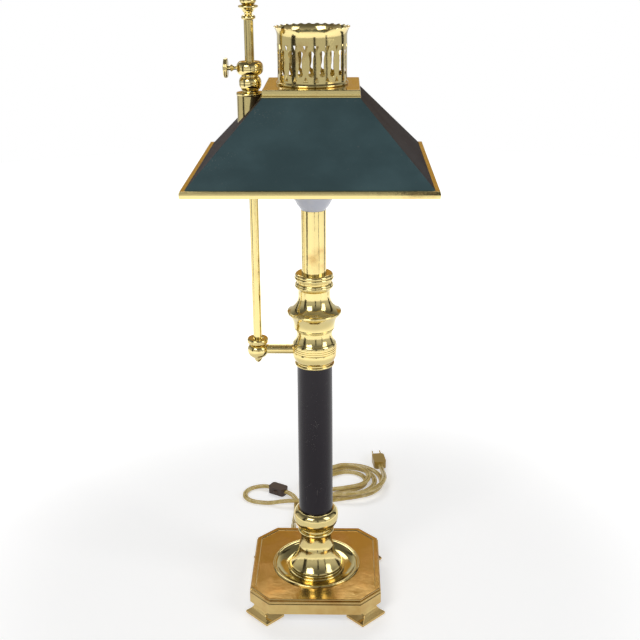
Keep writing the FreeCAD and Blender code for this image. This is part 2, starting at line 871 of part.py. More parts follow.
def side_arm():
    """Turned about its own axis, then laid along X from the ball to the inside of the collar."""
    ball_face = size("ball_radius") - BALL_SHOULDER
    collar_face = size("rod_offset") - size("collar_bulge_radius") + COLLAR_SHOULDER
    inner_end = size("rod_offset") - size("collar_bore") + size("arm_nut_set_in") + size("arm_nut_height") + 1
    radius = size("arm_radius")
    spigot = size("arm_spigot_radius")
    arm = turned("side_arm", [
        (AXIS, ball_face - 6, 0),
        (spigot, ball_face - 6, 0),
        (spigot, ball_face, 0),
        (radius, ball_face, 0),
        (radius, collar_face, 0),
        (spigot, collar_face, 0),
        (spigot, inner_end, 0),
        (AXIS, inner_end, 0),
    ])
    lay_along_x(arm, 90)
    nut_start = size("rod_offset") - size("collar_bore") + size("arm_nut_set_in")
    arm_nut = turned("arm_nut", [
        (spigot, nut_start, 0),
        (size("arm_nut_radius"), nut_start, 0),
        (size("arm_nut_radius"), nut_start + size("arm_nut_height"), 0),
        (spigot, nut_start + size("arm_nut_height"), 0),
    ])
    lay_along_x(arm_nut, 90)


def lay_along_x(body, turn, height=None):
    """Turns a piece from its own axis to the X direction, at the rod's axis."""
    body.Placement = FreeCAD.Placement(FreeCAD.Vector(), FreeCAD.Rotation(FreeCAD.Vector(0, 1, 0), turn))
    body.setExpression("Placement.Base.x", rod_across.text)
    body.setExpression("Placement.Base.z", (height or arm_axis).text)


def rod_foot():
    ball = size("ball_radius")
    half = size("ball_half_height")
    tip = size("tip_radius")
    spigot = size("rod_spigot_radius")
    turned("rod_ball", [
        (spigot, arm_axis - half, 0),
        (tip + 0.6, arm_axis - half, 0.17),
        (ball, arm_axis, 0.2),
        (size("ball_neck_radius"), ring_foot - 0.8, 0),
        (size("ball_neck_radius"), ring_foot, 0),
        (size("ring_radius") - 2.2, ring_foot, 0.25),
        (size("ring_radius"), ring_foot + size("ring_height") * 0.45, 0.2),
        (size("ring_radius") - 1.0, ring_top, 0),
        (size("rod_radius") + 2.0, ring_top, 0),
        (size("rod_radius") + size("slip_gap"), ring_top - 1.2, 0),
        (size("rod_radius") + size("slip_gap"), rod_seat, 0),
        (spigot, rod_seat, 0),
    ], across=rod_across)
    foot = arm_axis - half
    turned("rod_tip", [
        (AXIS, foot - size("tip_length"), 0.1),
        (tip, foot - 1.2, 0.3),
        (tip, foot, 0),
        (spigot, foot, 0),
        (spigot, foot + 2.2, 0),
        (AXIS, foot + 2.2, 0),
    ], across=rod_across)


def guide_rod():
    radius = size("rod_radius")
    spigot = size("rod_spigot_radius")
    turned("guide_rod", [
        (AXIS, arm_axis + size("arm_spigot_radius") + 0.4, 0),
        (spigot, arm_axis + size("arm_spigot_radius") + 0.4, 0),
        (spigot, rod_seat, 0),
        (radius, rod_seat, 0),
        (radius, rod_top, 0),
        (spigot, rod_top, 0),
        (spigot, rod_top + size("rod_tenon"), 0),
        (AXIS, rod_top + size("rod_tenon"), 0),
    ], across=rod_across)
    bead = size("finial_bead_radius")
    neck = size("finial_neck_radius")
    cup = size("finial_cup_radius")
    cup_level = rod_top + size("finial_cup_height")
    end = rod_top + size("finial_height")
    socket = rod_top + size("rod_tenon")
    turned("rod_finial", [
        (spigot, rod_top, 0),
        (bead - 1.4, rod_top, 0.4),
        (bead - 1.4, rod_top + 4.6, 0),
        (neck, rod_top + 5.4, -0.1),
        (neck + 1.4, rod_top + 8.4, -0.12),
        (cup - 0.4, cup_level - 1.2, 0.3),
        (cup - 0.4, cup_level + 1.0, 0),
        (size("finial_bulge_radius") * 0.66, cup_level + 2.0, 0.2),
        (size("finial_bulge_radius"), cup_level + 7.4, 0.16),
        (size("finial_bulge_radius") * 0.42, cup_level + 15.5, -0.08),
        (size("finial_tip_radius") * 0.7, end - size("finial_tip_radius") * 2, 0.25),
        (size("finial_tip_radius"), end - size("finial_tip_radius"), 0.2071),
        (size("pole_flat"), end, 0),
        (AXIS, end, 0),
        (AXIS, socket, 0),
        (spigot, socket, 0),
    ], across=rod_across)


# Clamp head, thumbscrew and swivel

FLANGE_SWELL = 0.2
head_foot = size("head_place")
ball_level = head_foot + size("head_ball_height")
sleeve_top = head_foot - size("swivel_gap")
sleeve_foot = sleeve_top - size("sleeve_length")
swivel_top = sleeve_foot - size("swivel_gap")
swivel_foot = swivel_top - size("swivel_ring_height")


def clamp_head():
    bore = size("rod_radius") + size("running_gap")
    half = size("head_ball_half")
    flange = size("head_flange_radius")
    head = turned("clamp_head_turning", [
        (bore, swivel_foot, 0),
        (size("spigot_radius"), swivel_foot, 0),
        (size("spigot_radius"), head_foot, 0),
        (flange, head_foot, FLANGE_SWELL),
        (flange, head_foot + size("head_flange_height"), 0),
        (size("head_waist_radius"), head_foot + size("head_flange_height") + 1.2, 0),
        (size("head_waist_radius"), head_foot + size("head_flange_height") + 2.4, 0.14),
        (size("urn_radius"), head_foot + size("urn_height"), 0.16),
        (size("head_neck_radius"), head_foot + size("head_neck_height"), 0),
        (size("head_neck_radius"), ball_level - half, 0),
        (size("head_ball_radius") * 0.78, ball_level - half, 0.16),
        (size("head_ball_radius"), ball_level, 0.16),
        (size("head_ball_radius") * 0.78, ball_level + half, 0),
        (bore + 1.2, ball_level + half, 0),
        (bore, ball_level + half - 1.2, 0),
    ], across=rod_across)
    built.pop("clamp_head_turning")
    hole = doc.addObject("Part::Cylinder", "screw_hole")
    hole.Placement = FreeCAD.Placement(FreeCAD.Vector(), FreeCAD.Rotation(FreeCAD.Vector(0, 1, 0), -90))
    hole.setExpression("Radius", (size("screw_radius") + size("running_gap")).text)
    hole.setExpression("Height", (size("head_ball_radius") * 1.5).text)
    hole.setExpression("Placement.Base.x", rod_across.text)
    hole.setExpression("Placement.Base.z", ball_level.text)
    drilled = doc.addObject("Part::Cut", "clamp_head")
    drilled.Label = "clamp_head"
    drilled.Base = head
    drilled.Tool = hole
    built["clamp_head"] = drilled
    turned("swivel_ring", [
        (size("spigot_radius"), swivel_foot, 0),
        (size("swivel_ring_radius"), swivel_foot, 0),
        (size("swivel_ring_radius"), swivel_top, 0),
        (size("spigot_radius"), swivel_top, 0),
    ], across=rod_across)


def thumbscrew():
    shank = size("screw_radius")
    collar_end = size("screw_reach") + size("screw_collar_length")
    grip = size("screw_grip_start")
    radius = size("screw_grip_radius")
    thick = size("screw_grip_thickness")
    screw = turned("thumbscrew", [
        (AXIS, size("rod_radius") + size("screw_tip_gap"), 0),
        (shank, size("rod_radius") + size("screw_tip_gap"), 0),
        (shank, size("screw_reach"), -0.1),
        (size("screw_collar_radius"), collar_end, 0.2),
        (shank + 0.6, collar_end + 1.4, 0),
        (shank + 0.6, grip, 0),
        (radius - 1.4, grip, 0.35),
        (radius, grip + thick * 0.5, 0.35),
        (radius - 1.4, grip + thick, 0),
        (shank + 1.4, grip + thick, 0.2),
        (size("pole_flat"), grip + thick + 1.2, 0),
        (AXIS, grip + thick + 1.2, 0),
    ])
    lay_along_x(screw, -90, ball_level)


# Shade: sleeve, panels, rim, plate and crown

panel_foot = size("rim_place") + size("rim_height")
panel_top = panel_foot + size("panel_height")
plate_top = panel_top + size("plate_height")


def sleeve():
    outer = size("sleeve_radius")
    inner = outer - size("sleeve_wall")
    turned("sleeve_tube", [
        (inner, sleeve_foot, 0),
        (outer, sleeve_foot, 0),
        (outer, sleeve_top, 0),
        (inner, sleeve_top, 0),
    ], across=rod_across)
    bearing = size("spigot_radius") + size("running_gap")
    for label, foot in (("sleeve_bush_top", sleeve_top - size("sleeve_bush_length")),
                        ("sleeve_bush_bottom", sleeve_foot)):
        turned(label, [
            (bearing, foot, 0),
            (inner, foot, 0),
            (inner, foot + size("sleeve_bush_length"), 0),
            (bearing, foot + size("sleeve_bush_length"), 0),
        ], across=rod_across)


def panels():
    low = number(panel_foot)
    high = number(panel_top)
    inset = number(size("panel_inset"))
    outer_foot = number(size("panel_foot_half"))
    outer_head = number(size("panel_head_half"))
    flange = number(size("head_flange_radius")) + FLANGE_SWELL * number(size("head_flange_height"))
    window = pin(flange + number(size("window_gap")), high,
                 (-number(size("rod_offset")), 0, number(sleeve_foot)))
    for label, angle in (("panel_right", 0), ("panel_back", 90), ("panel_left", 180), ("panel_front", 270)):
        corners = []
        section = ((outer_foot, low), (outer_head, high), (outer_head - inset, high), (outer_foot - inset, low))
        for half, level in section:
            corners.append([FreeCAD.Vector(half, -half, level), FreeCAD.Vector(half, half, level)])
        faces = []
        for index, edge in enumerate(corners):
            after = corners[(index + 1) % 4]
            loop = [edge[0], edge[1], after[1], after[0], edge[0]]
            faces.append(Part.Face(Part.makePolygon(loop)))
        for end in (0, 1):
            loop = [edge[end] for edge in corners]
            faces.append(Part.Face(Part.makePolygon(loop + [loop[0]])))
        panel = Part.Solid(Part.Shell(faces))
        if panel.Volume < 0:
            panel.reverse()
        panel.rotate(FreeCAD.Vector(), FreeCAD.Vector(0, 0, 1), angle)
        if label == "panel_left":
            panel = panel.cut(window)
        shaped(label, panel)


def positive(solid):
    if solid.Volume < 0:
        solid.reverse()
    return solid


def rim():
    half = number(size("panel_foot_half")) + number(size("rim_overhang"))
    low = number(size("rim_place"))
    tall = number(size("rim_height"))
    ledge = number(size("rim_ledge"))
    wall = number(size("rim_wall"))
    bow = number(size("rim_bow"))
    profile = [
        (half - bow, low),
        (half - bow * 0.2, low + tall * 0.25),
        (half, low + tall * 0.5),
        (half - bow * 0.2, low + tall * 0.75),
        (half - bow * 1.6, low + tall),
        (half - ledge - wall, low + tall),
        (half - ledge - wall, low + tall - wall),
        (half - wall - bow, low + tall - wall),
        (half - wall - bow, low),
    ]
    shaped("shade_rim", positive(mitred(profile, square)))


def top_plate():
    half = number(size("panel_head_half")) + number(size("plate_overhang"))
    line = number(size("plate_line"))
    low = number(panel_top)
    tall = number(size("plate_height"))
    wall = number(size("plate_wall"))
    profile = [
        (half + line, low),
        (half + line, low + tall * 0.16),
        (half - line, low + tall * 0.24),
        (half - line, low + tall * 0.34),
        (half, low + tall * 0.42),
        (half, low + tall * 0.92),
        (half - line, low + tall),
    ]
    plate = stacked(profile, square)
    hollow = half - wall - line
    plate = plate.cut(block((-hollow, -hollow, low - 1), (hollow, hollow, low + tall - wall)))
    shaped("top_plate", plate.cut(pin(number(size("vent_radius")), tall * 2, (0, 0, low))))


def gallery():
    """The crown: a turned wall with a flared scalloped rim, pierced in a repeating pattern."""
    radius = size("gallery_radius")
    wall = size("gallery_wall")
    foot = size("gallery_foot_height")
    top = plate_top + size("gallery_height")
    body = turned("gallery", [
        (radius - wall, plate_top, 0),
        (size("gallery_foot_radius"), plate_top, 0.3),
        (size("gallery_foot_radius"), plate_top + foot * 0.7, 0),
        (radius, plate_top + foot, 0),
        (radius, top - foot * 3, -0.09),
        (size("gallery_rim_radius"), top, 0),
        (size("gallery_rim_radius") - wall, top, 0.09),
        (radius - wall, top - foot * 3, 0),
    ])
    pierce = body.newObject("Sketcher::SketchObject", "gallery_motif")
    pierce.AttachmentSupport = [(origin_plane(body, "XZ_Plane"), "")]
    pierce.MapMode = "FlatFace"
    draw_slot(pierce)
    side = math.pi / number(size("motif_count"))
    cut_round(body, pierce, "gallery_slots", "motif_count")
    points = body.newObject("Sketcher::SketchObject", "gallery_points")
    points.AttachmentSupport = [(origin_plane(body, "XZ_Plane"), "")]
    points.MapMode = "FlatFace"
    half_pitch = FreeCAD.Rotation(FreeCAD.Vector(0, 1, 0), math.degrees(side))
    points.AttachmentOffset = FreeCAD.Placement(FreeCAD.Vector(), half_pitch)
    draw_triangles(points)
    cut_round(body, points, "gallery_triangles", "motif_count")
    rim_cut = body.newObject("Sketcher::SketchObject", "gallery_scallop")
    rim_cut.AttachmentSupport = [(origin_plane(body, "XZ_Plane"), "")]
    rim_cut.MapMode = "FlatFace"
    draw_scallop(rim_cut)
    cut_round(body, rim_cut, "gallery_scallops", "scallop_count")


def closed_outline(sketch, places, bends):
    """Draws a closed outline of straight and bent stretches, every point held by its coordinates."""
    ends = []
    for index, place in enumerate(places):
        after = places[(index + 1) % len(places)]
        start = FreeCAD.Vector(place[0].value, place[1].value, 0)
        stop = FreeCAD.Vector(after[0].value, after[1].value, 0)
        bend = bends[index]
        if bend:
            middle = ((place[0] + after[0]) / 2 + (after[1] - place[1]) * bend,
                      (place[1] + after[1]) / 2 - (after[0] - place[0]) * bend)
            spot = FreeCAD.Vector(middle[0].value, middle[1].value, 0)
            curve = sketch.addGeometry(Part.Arc(start, spot, stop), False)
            ends.append(end_order(sketch, curve, start))
            guide = sketch.addGeometry(Part.Point(spot), True)
            hold_point(sketch, guide, 1, middle)
            sketch.addConstraint(Sketcher.Constraint("PointOnObject", guide, 1, curve))
        else:
            curve = sketch.addGeometry(Part.LineSegment(start, stop), False)
            ends.append((curve, 1, 2))
    for index, (curve, begin, finish) in enumerate(ends):
        follower = ends[(index + 1) % len(ends)]
        sketch.addConstraint(Sketcher.Constraint("Coincident", curve, finish, follower[0], follower[1]))
        hold_point(sketch, curve, begin, places[index])


def draw_slot(sketch):
    """A tall opening with two round lobes and a waist between them."""
    lobe = size("slot_lobe_radius")
    low = plate_top + size("slot_low")
    high = plate_top + size("slot_high")
    waist = size("slot_waist") / 2
    middle = (low + high) / 2
    places = [
        (lobe * 0.9, low + lobe * 1.4), (waist, middle), (lobe * 0.9, high - lobe * 1.4),
        (lobe * -0.9, high - lobe * 1.4), (-waist, middle), (lobe * -0.9, low + lobe * 1.4),
    ]
    closed_outline(sketch, places, [-0.06, -0.06, 0.7, -0.06, -0.06, 0.7])


def draw_triangles(sketch):
    wide = size("triangle_width") / 2
    tall = size("triangle_height")
    upper = plate_top + size("triangle_top")
    lower = plate_top + size("triangle_bottom")
    point = wide * 0.08
    hanging = [(wide, upper), (-wide, upper), (-point, upper - tall), (point, upper - tall)]
    standing = [(-wide, lower), (wide, lower), (point, lower + tall), (-point, lower + tall)]
    for corners in (hanging, standing):
        closed_outline(sketch, corners, [0, 0, 0, 0])


def draw_scallop(sketch):
    """A shallow notch between two waves of the rim."""
    top = plate_top + size("gallery_height")
    reach = size("gallery_rim_radius") * math.sin(math.pi / number(size("scallop_count"))) * 0.8
    deep = number(size("scallop_depth"))
    closed_outline(sketch, [(reach, top + 1.0), (-reach, top + 1.0), (reach * -0.9, top), (reach * 0.9, top)],
                   [0, 0, deep / number(reach * 1.8), 0])


def cut_round(body, sketch, label, count):
    """Cuts one opening through the wall on the near side and repeats it round the axis."""
    doc.recompute()
    before = body.Shape.Volume
    pocket = body.newObject("PartDesign::Pocket", label)
    pocket.Profile = sketch
    pocket.Type = 0
    pocket.Midplane = False
    pocket.setExpression("Length", (size("gallery_rim_radius") * 1.3).text)
    doc.recompute()
    if body.Shape.Volume >= before:
        raise ValueError(label + " cuts nothing")
    pattern = body.newObject("PartDesign::PolarPattern", label + "_round")
    pattern.Originals = [pocket]
    pattern.Axis = (next(item for item in body.Origin.OriginFeatures if item.Role == "Z_Axis"), [""])
    pattern.Angle = 360
    pattern.setExpression("Occurrences", "Sizes." + count)
    body.Tip = pattern
    doc.recompute()


def shade_bracket():
    """A folded strap, brazed to the sleeve and under the top plate."""
    width = number(size("bracket_width")) / 2
    thick = number(size("bracket_thickness"))
    under = number(plate_top) - number(size("plate_wall"))
    leg = -number(size("bracket_leg"))
    reach = number(size("bracket_reach"))
    low = under - number(size("bracket_drop"))
    across = -number(size("rod_offset"))
    arm = block((across, -width, low), (leg, width, low + thick))
    upright = block((leg - thick, -width, low), (leg, width, under))
    flange = block((leg - thick, -width, under - thick), (leg - thick + reach, width, under))
    strap = arm.fuse(upright).fuse(flange).removeSplitter()
    strap = strap.cut(pin(number(size("sleeve_radius")), 3 * width, (across, 0, low - width)))
    shaped("shade_bracket", strap)


# Cord: the wire inside, the free stretches, the hank, the switch and the plug


def tube_along(points, radius):
    """A round tube of straight runs and tangent arcs; returns the solid and the bend radii."""
    spots = [FreeCAD.Vector(*point) for point in points]
    edges = []
    radii = []
    length = 0.0
    last = spots[0]
    for before, corner, after in zip(spots, spots[1:], spots[2:]):
        come = (corner - before)
        leave = (after - corner)
        shorter = min(come.Length, leave.Length)
        turn = come.getAngle(leave)
        bend = 0.45 * shorter / math.tan(turn / 2)
        radii.append(bend)
        come.normalize()
        leave.normalize()
        start = corner - come * (0.45 * shorter)
        stop = corner + leave * (0.45 * shorter)
        inward = (leave - come)
        inward.normalize()
        middle = corner + inward * (bend / math.cos(turn / 2) - bend)
        edges.append(Part.LineSegment(last, start).toShape())
        edges.append(Part.Arc(start, middle, stop).toShape())
        last = stop
    edges.append(Part.LineSegment(last, spots[-1]).toShape())
    path = Part.Wire(edges)
    heading = spots[1] - spots[0]
    circle = Part.Wire(Part.makeCircle(radius, spots[0], heading))
    tube = path.makePipeShell([circle], True, False)
    want = math.pi * radius ** 2 * path.Length
    if abs(tube.Volume - want) > 0.02 * want:
        raise ValueError("a tube's volume is not its section times its length")
    return tube, radii, path.Length


# The free cord's points, chosen by hand: out of the bush, down to the table and round to the switch
LEAD_POINTS = [
    (-36, 95, 23), (-36, 106, 23), (-36.6, 122, 18), (-37.4, 138, 8.2), (-37, 157, 3.25), (-35.6, 177, 3.25),
    (-36, 197, 3.25), (-36.6, 214, 3.25), (-39.6, 223.4, 4.2), (-45.9, 231.1, 5.5), (-54.6, 236.1, 6),
]
SWITCH_HEADING = 150.0
# From the switch round the left loop, over the first stretch in a low hump, and on to the hank
LOOP_POINTS = [
    (-78.8, 250.1, 6), (-86.6, 254.6, 5.5), (-98.4, 256.7, 4.1), (-109.7, 252.6, 3.25), (-117.0, 243.2, 3.25),
    (-119.0, 231.6, 3.25), (-115.0, 220.3, 3.25), (-105.8, 212.6, 3.25), (-92.5, 208.9, 3.25),
    (-77, 207.0, 3.25), (-55, 202.5, 13.5), (-27, 204, 13.5), (-5, 210.6, 3.25), (14, 215.7, 3.25),
]
# The hank: right-hand and left-hand turns about two middles, in two layers
HANK_RIGHT = (46, 278)
HANK_LEFT = (6, 256)
HANK_RIGHT_IN = (52, 43, 34)
HANK_LEFT_IN = (34, 25)
HANK_LEFT_OUT = (17, 26)
HANK_RIGHT_OUT = (43, 57)
HANK_LAYER = 7.7
HANK_END = 8.0
HANK_TAIL = 36.0


def hank_turns():
    """Every turn of the hank in order: middle, radius and layer height."""
    floor = number(size("cord_radius"))
    upper = floor + HANK_LAYER
    turns = []
    for index, radius in enumerate(HANK_RIGHT_IN):
        turns.append((HANK_RIGHT, radius, floor))
        if index < len(HANK_LEFT_IN):
            turns.append((HANK_LEFT, HANK_LEFT_IN[index], floor))
    for left, right in zip(HANK_LEFT_OUT, HANK_RIGHT_OUT):
        turns.append((HANK_LEFT, left, upper))
        turns.append((HANK_RIGHT, right, upper))
    return turns


def tangent(first, second):
    """Touching points of the line that leaves one turn and meets the next, both turning left."""
    (x1, y1), r1 = first
    (x2, y2), r2 = second
    gap = math.hypot(x2 - x1, y2 - y1)
    heading = math.atan2(y2 - y1, x2 - x1) + math.asin((r1 - r2) / gap)
    out = heading - math.pi / 2
    start = (x1 + r1 * math.cos(out), y1 + r1 * math.sin(out))
    stop = (x2 + r2 * math.cos(out), y2 + r2 * math.sin(out))
    return start, stop


def cord_hank():
    turns = hank_turns()
    radius = number(size("cord_radius"))
    plug_level = number(size("plug_height")) / 2
    edges = []
    spots = []
    here = FreeCAD.Vector(*LOOP_POINTS[-1])
    first_middle, first_radius, _ = turns[0]
    away = math.hypot(here.x - first_middle[0], here.y - first_middle[1])
    base = math.atan2(first_middle[1] - here.y, first_middle[0] - here.x)
    heading = base - math.asin(first_radius / away)
    out = heading - math.pi / 2
    arrive = (first_middle[0] + first_radius * math.cos(out), first_middle[1] + first_radius * math.sin(out))
    for index, (middle, bend, level) in enumerate(turns):
        stop = FreeCAD.Vector(arrive[0], arrive[1], level)
        edges += climb(here, stop)
        if index + 1 < len(turns):
            leave, arrive_next = tangent((middle, bend), (turns[index + 1][0], turns[index + 1][1]))
        else:
            last = math.radians(HANK_END)
            leave = (middle[0] + bend * math.cos(last), middle[1] + bend * math.sin(last))
            arrive_next = (leave[0] - HANK_TAIL * math.sin(last), leave[1] + HANK_TAIL * math.cos(last))
        begin = math.atan2(stop.y - middle[1], stop.x - middle[0])
        finish = math.atan2(leave[1] - middle[1], leave[0] - middle[0])
        while finish < begin:
            finish += 2 * math.pi
        quarter = (finish - begin) / 2
        for half in range(2):
            angles = [begin + quarter * (half + share) for share in (0, 0.5, 1)]
            points = []
            for angle in angles:
                place = (middle[0] + bend * math.cos(angle), middle[1] + bend * math.sin(angle), level)
                points.append(FreeCAD.Vector(*place))
            edges.append(Part.Arc(*points).toShape())
        here = FreeCAD.Vector(leave[0], leave[1], level)
        arrive = arrive_next
    stop = FreeCAD.Vector(arrive[0], arrive[1], plug_level)
    edges += climb(here, stop)
    path = Part.Wire(edges)
    circle = Part.Wire(Part.makeCircle(radius, FreeCAD.Vector(*LOOP_POINTS[-1]),
                                       FreeCAD.Vector(math.cos(heading), math.sin(heading), 0)))
    tube = path.makePipeShell([circle], True, False)
    for edge in edges:
        spots += edge.discretize(Distance=2.0)
    report_gap(spots, radius)
    share = tube.Volume / (math.pi * radius ** 2 * path.Length)
    print("hank length", round(path.Length, 1), "volume share", round(share, 4))
    shaped("cord_hank", tube)
    end_way = stop - here
    end_way.z = 0
    end_way.normalize()
    return stop, end_way


def climb(start, stop):
    """A run between two turns: straight on a level, or an even S up to the next layer."""
    if abs(stop.z - start.z) < 1e-6:
        return [Part.LineSegment(start, stop).toShape()]
    middle = (start + stop) * 0.5
    flat = FreeCAD.Vector(stop.x - start.x, stop.y - start.y, 0).Length
    rise = stop.z - start.z
    bend = (flat ** 2 + rise ** 2) / (4 * abs(rise))
    half_turn = math.asin(flat / 2 / bend) / 2
    drop = bend * (1 - math.cos(half_turn))
    side = FreeCAD.Vector(stop.x - start.x, stop.y - start.y, 0)
    side.normalize()
    along = bend * math.sin(half_turn)
    sign = 1 if rise > 0 else -1
    low = start + side * along + FreeCAD.Vector(0, 0, sign * drop)
    high = stop - side * along - FreeCAD.Vector(0, 0, sign * drop)
    return [Part.Arc(start, low, middle).toShape(), Part.Arc(middle, high, stop).toShape()]


def report_gap(spots, radius):
    """Least distance between the surfaces of stretches of the hank that aren't neighbours on it."""
    least = 1e9
    skip = 14
    for index, spot in enumerate(spots):
        for other in spots[index + skip:]:
            away = spot.distanceToPoint(other)
            if away < least:
                least = away
    print("hank least gap to itself", round(least - 2 * radius, 2))


def cords():
    radius = number(size("cord_radius"))
    for label, points in (("cord_lead", LEAD_POINTS), ("cord_loop", LOOP_POINTS)):
        tube, radii, length = tube_along(points, radius)
        print(label, "length", round(length, 1), "radii", [round(value) for value in radii])
        shaped(label, tube)


def inner_wire():
    """The wire from the bush through the base and up the hollow tie rod to the contact."""
    level = number(size("exit_height"))
    under = number(tie_foot) - number(size("wire_radius")) - 1.2
    back = number(size("base_half")) + number(size("bush_length"))
    top = number(holder_foot) + number(size("holder_floor"))
    aside = LEAD_POINTS[0][0]
    points = [(aside, back, level), (aside, back - 24, level), (-17, 64, level - 0.2), (-1, 55, level),
              (0, 34, level), (0, 14, under + 0.3), (0, 0, under), (0, 0, top)]
    tube, radii, _ = tube_along(points, number(size("wire_radius")))
    print("inner wire radii", [round(value, 1) for value in radii])
    shaped("inner_wire", tube)


def cord_bush():
    bush = turned("cord_bush", [
        (size("wire_radius"), -size("shell_wall") * 2, 0),
        (size("bush_radius"), -size("shell_wall") * 2, 0),
        (size("bush_radius"), AXIS, 0),
        (size("bush_flange_radius"), AXIS, 0),
        (size("bush_flange_radius"), size("bush_flange"), 0),
        (size("bush_radius") + 0.4, size("bush_flange"), 0),
        (size("bush_tip_radius"), size("bush_length"), 0),
        (size("wire_radius"), size("bush_length"), 0),
    ])
    bush.Placement = FreeCAD.Placement(FreeCAD.Vector(), FreeCAD.Rotation(FreeCAD.Vector(1, 0, 0), -90))
    bush.setExpression("Placement.Base.x", (-size("exit_aside")).text)
    bush.setExpression("Placement.Base.y", size("base_half").text)
    bush.setExpression("Placement.Base.z", size("exit_height").text)


def rounded_block(low, high, radius):
    """A block with its upright corners rounded."""
    solid = block(low, high)
    uprights = [edge for edge in solid.Edges if abs(edge.tangentAt(edge.FirstParameter).z) > 0.9]
    return solid.makeFillet(radius, uprights)


def cord_switch():
    """A two-part in-line switch with a thumb wheel that stands out of its near side."""
    start = LEAD_POINTS[-1]
    length = number(size("switch_length"))
    width = number(size("switch_width")) / 2
    tall = number(size("switch_height"))
    wheel = number(size("switch_wheel_radius"))
    thick = number(size("switch_wheel_height"))
    wheel_x = length / 2
    wheel_y = width + number(size("switch_wheel_proud")) - wheel
    wheel_foot = tall / 2 - thick / 2
    gap = number(size("swivel_gap"))
    whole = rounded_block((0, -width, 0), (length, width, tall), 4.0)
    whole = whole.cut(pin(wheel + gap, thick + 2 * gap, (wheel_x, wheel_y, wheel_foot - gap)))
    axle = number(size("switch_pin_radius"))
    axle_pin = pin(axle, thick + 4, (wheel_x, wheel_y, wheel_foot - 2))
    whole = whole.cut(axle_pin)
    big = 2 * length
    lower_space = block((-big, -big, -1), (big, big, tall / 2))
    disc = pin(wheel, thick, (wheel_x, wheel_y, wheel_foot))
    for tooth in range(12):
        angle = tooth * math.pi / 6
        place = (wheel_x + wheel * math.cos(angle), wheel_y + wheel * math.sin(angle), wheel_foot)
        disc = disc.cut(pin(0.6, thick, place))
    disc = disc.cut(pin(axle + number(size("running_gap")), thick, (wheel_x, wheel_y, wheel_foot)))
    spot = FreeCAD.Placement(FreeCAD.Vector(start[0], start[1], 0),
                             FreeCAD.Rotation(FreeCAD.Vector(0, 0, 1), SWITCH_HEADING))
    pieces = {
        "switch_base": whole.common(lower_space),
        "switch_cover": whole.cut(lower_space),
        "switch_pin": axle_pin,
        "switch_wheel": disc,
    }
    for label, piece in pieces.items():
        piece.Placement = spot.multiply(piece.Placement)
        shaped(label, piece)
    axis = spot.multVec(FreeCAD.Vector(wheel_x, wheel_y, tall / 2))
    print("switch wheel axis", [round(value, 3) for value in axis])


def plug(end, way):
    """A flat two-blade plug that lies where the cord ends."""
    length = number(size("plug_length"))
    width = number(size("plug_width")) / 2
    tall = number(size("plug_height"))
    body = rounded_block((0, -width, 0), (length, width, tall), 5.0)
    spread = number(size("blade_spread")) / 2
    thick = number(size("blade_thickness")) / 2
    wide = number(size("blade_width")) / 2
    blades = []
    for side in (-spread, spread):
        low = (length - 6, side - thick, tall / 2 - wide)
        high = (length + number(size("blade_length")), side + thick, tall / 2 + wide)
        blades.append(block(low, high))
        body = body.cut(blades[-1])
    turn = math.degrees(math.atan2(way.y, way.x))
    for shape in [body] + blades:
        shape.rotate(FreeCAD.Vector(), FreeCAD.Vector(0, 0, 1), turn)
        shape.translate(FreeCAD.Vector(end.x, end.y, 0))
    shaped("plug_body", body)
    shaped("plug_blades", Part.Compound(blades))


# Build every piece

base_shell()
feet()
base_cover()
base_weight()
dish()
trumpet()
column_cup()
collar()
candle_cup()
tie_rod()
lampholder()
bulb()
side_arm()
rod_foot()
guide_rod()
clamp_head()
thumbscrew()
sleeve()
panels()
rim()
top_plate()
gallery()
shade_bracket()
inner_wire()
cord_bush()
cords()
hank_end, hank_way = cord_hank()
cord_switch()
plug(hank_end, hank_way)
doc.recompute()


def drill(label, tool):
    """Takes a bore for another piece out of a turned piece."""
    built[label].Label = label + "_turning"
    bored = built[label].Shape.cut(tool)
    piece = doc.addObject("Part::Feature", label + "_bored")
    piece.Label = label
    piece.Shape = bored
    built[label] = piece


arm_bore = pin(number(size("arm_spigot_radius")), number(size("rod_offset")),
               (-number(size("rod_offset")), 0, number(arm_axis)), (1, 0, 0))
seat_start = number(size("ball_radius")) - BALL_SHOULDER
seat_end = number(size("rod_offset")) - number(size("collar_bulge_radius")) + COLLAR_SHOULDER
arm_seat = pin(number(size("arm_radius")), seat_end - seat_start,
               (seat_start - number(size("rod_offset")), 0, number(arm_axis)), (1, 0, 0))
drill("collar_body", arm_bore.fuse(arm_seat))
drill("rod_ball", arm_bore.fuse(arm_seat))

# Check and write

for item in doc.Objects:
    if "Invalid" in item.State or "Error" in item.State:
        raise ValueError("failed object: " + item.Name)
os.makedirs("parts", exist_ok=True)
for label, piece in built.items():
    shape = piece.Shape
    if shape.isNull() or not shape.isValid() or not shape.Solids:
        raise ValueError("bad shape: " + label)
    shape.exportStep("parts/%s.step" % label)
print(len(built), "nodes written")
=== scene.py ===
"""Looks of a brass bouillotte table lamp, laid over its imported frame."""

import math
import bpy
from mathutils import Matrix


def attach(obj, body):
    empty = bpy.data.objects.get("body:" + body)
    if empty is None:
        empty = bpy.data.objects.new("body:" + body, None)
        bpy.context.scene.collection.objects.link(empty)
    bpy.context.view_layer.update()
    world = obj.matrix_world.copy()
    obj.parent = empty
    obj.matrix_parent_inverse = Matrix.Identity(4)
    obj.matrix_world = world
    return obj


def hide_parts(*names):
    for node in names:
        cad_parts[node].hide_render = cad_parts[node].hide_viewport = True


bl_info = {
    "name": "Bouillotte lamp looks",
    "version": (1, 0, 0),
    "blender": (4, 5, 0),
    "location": "View3D > Sidebar > Lamp",
    "description": "Finishes, cord, stage and camera for a brass bouillotte lamp",
    "category": "Object",
}

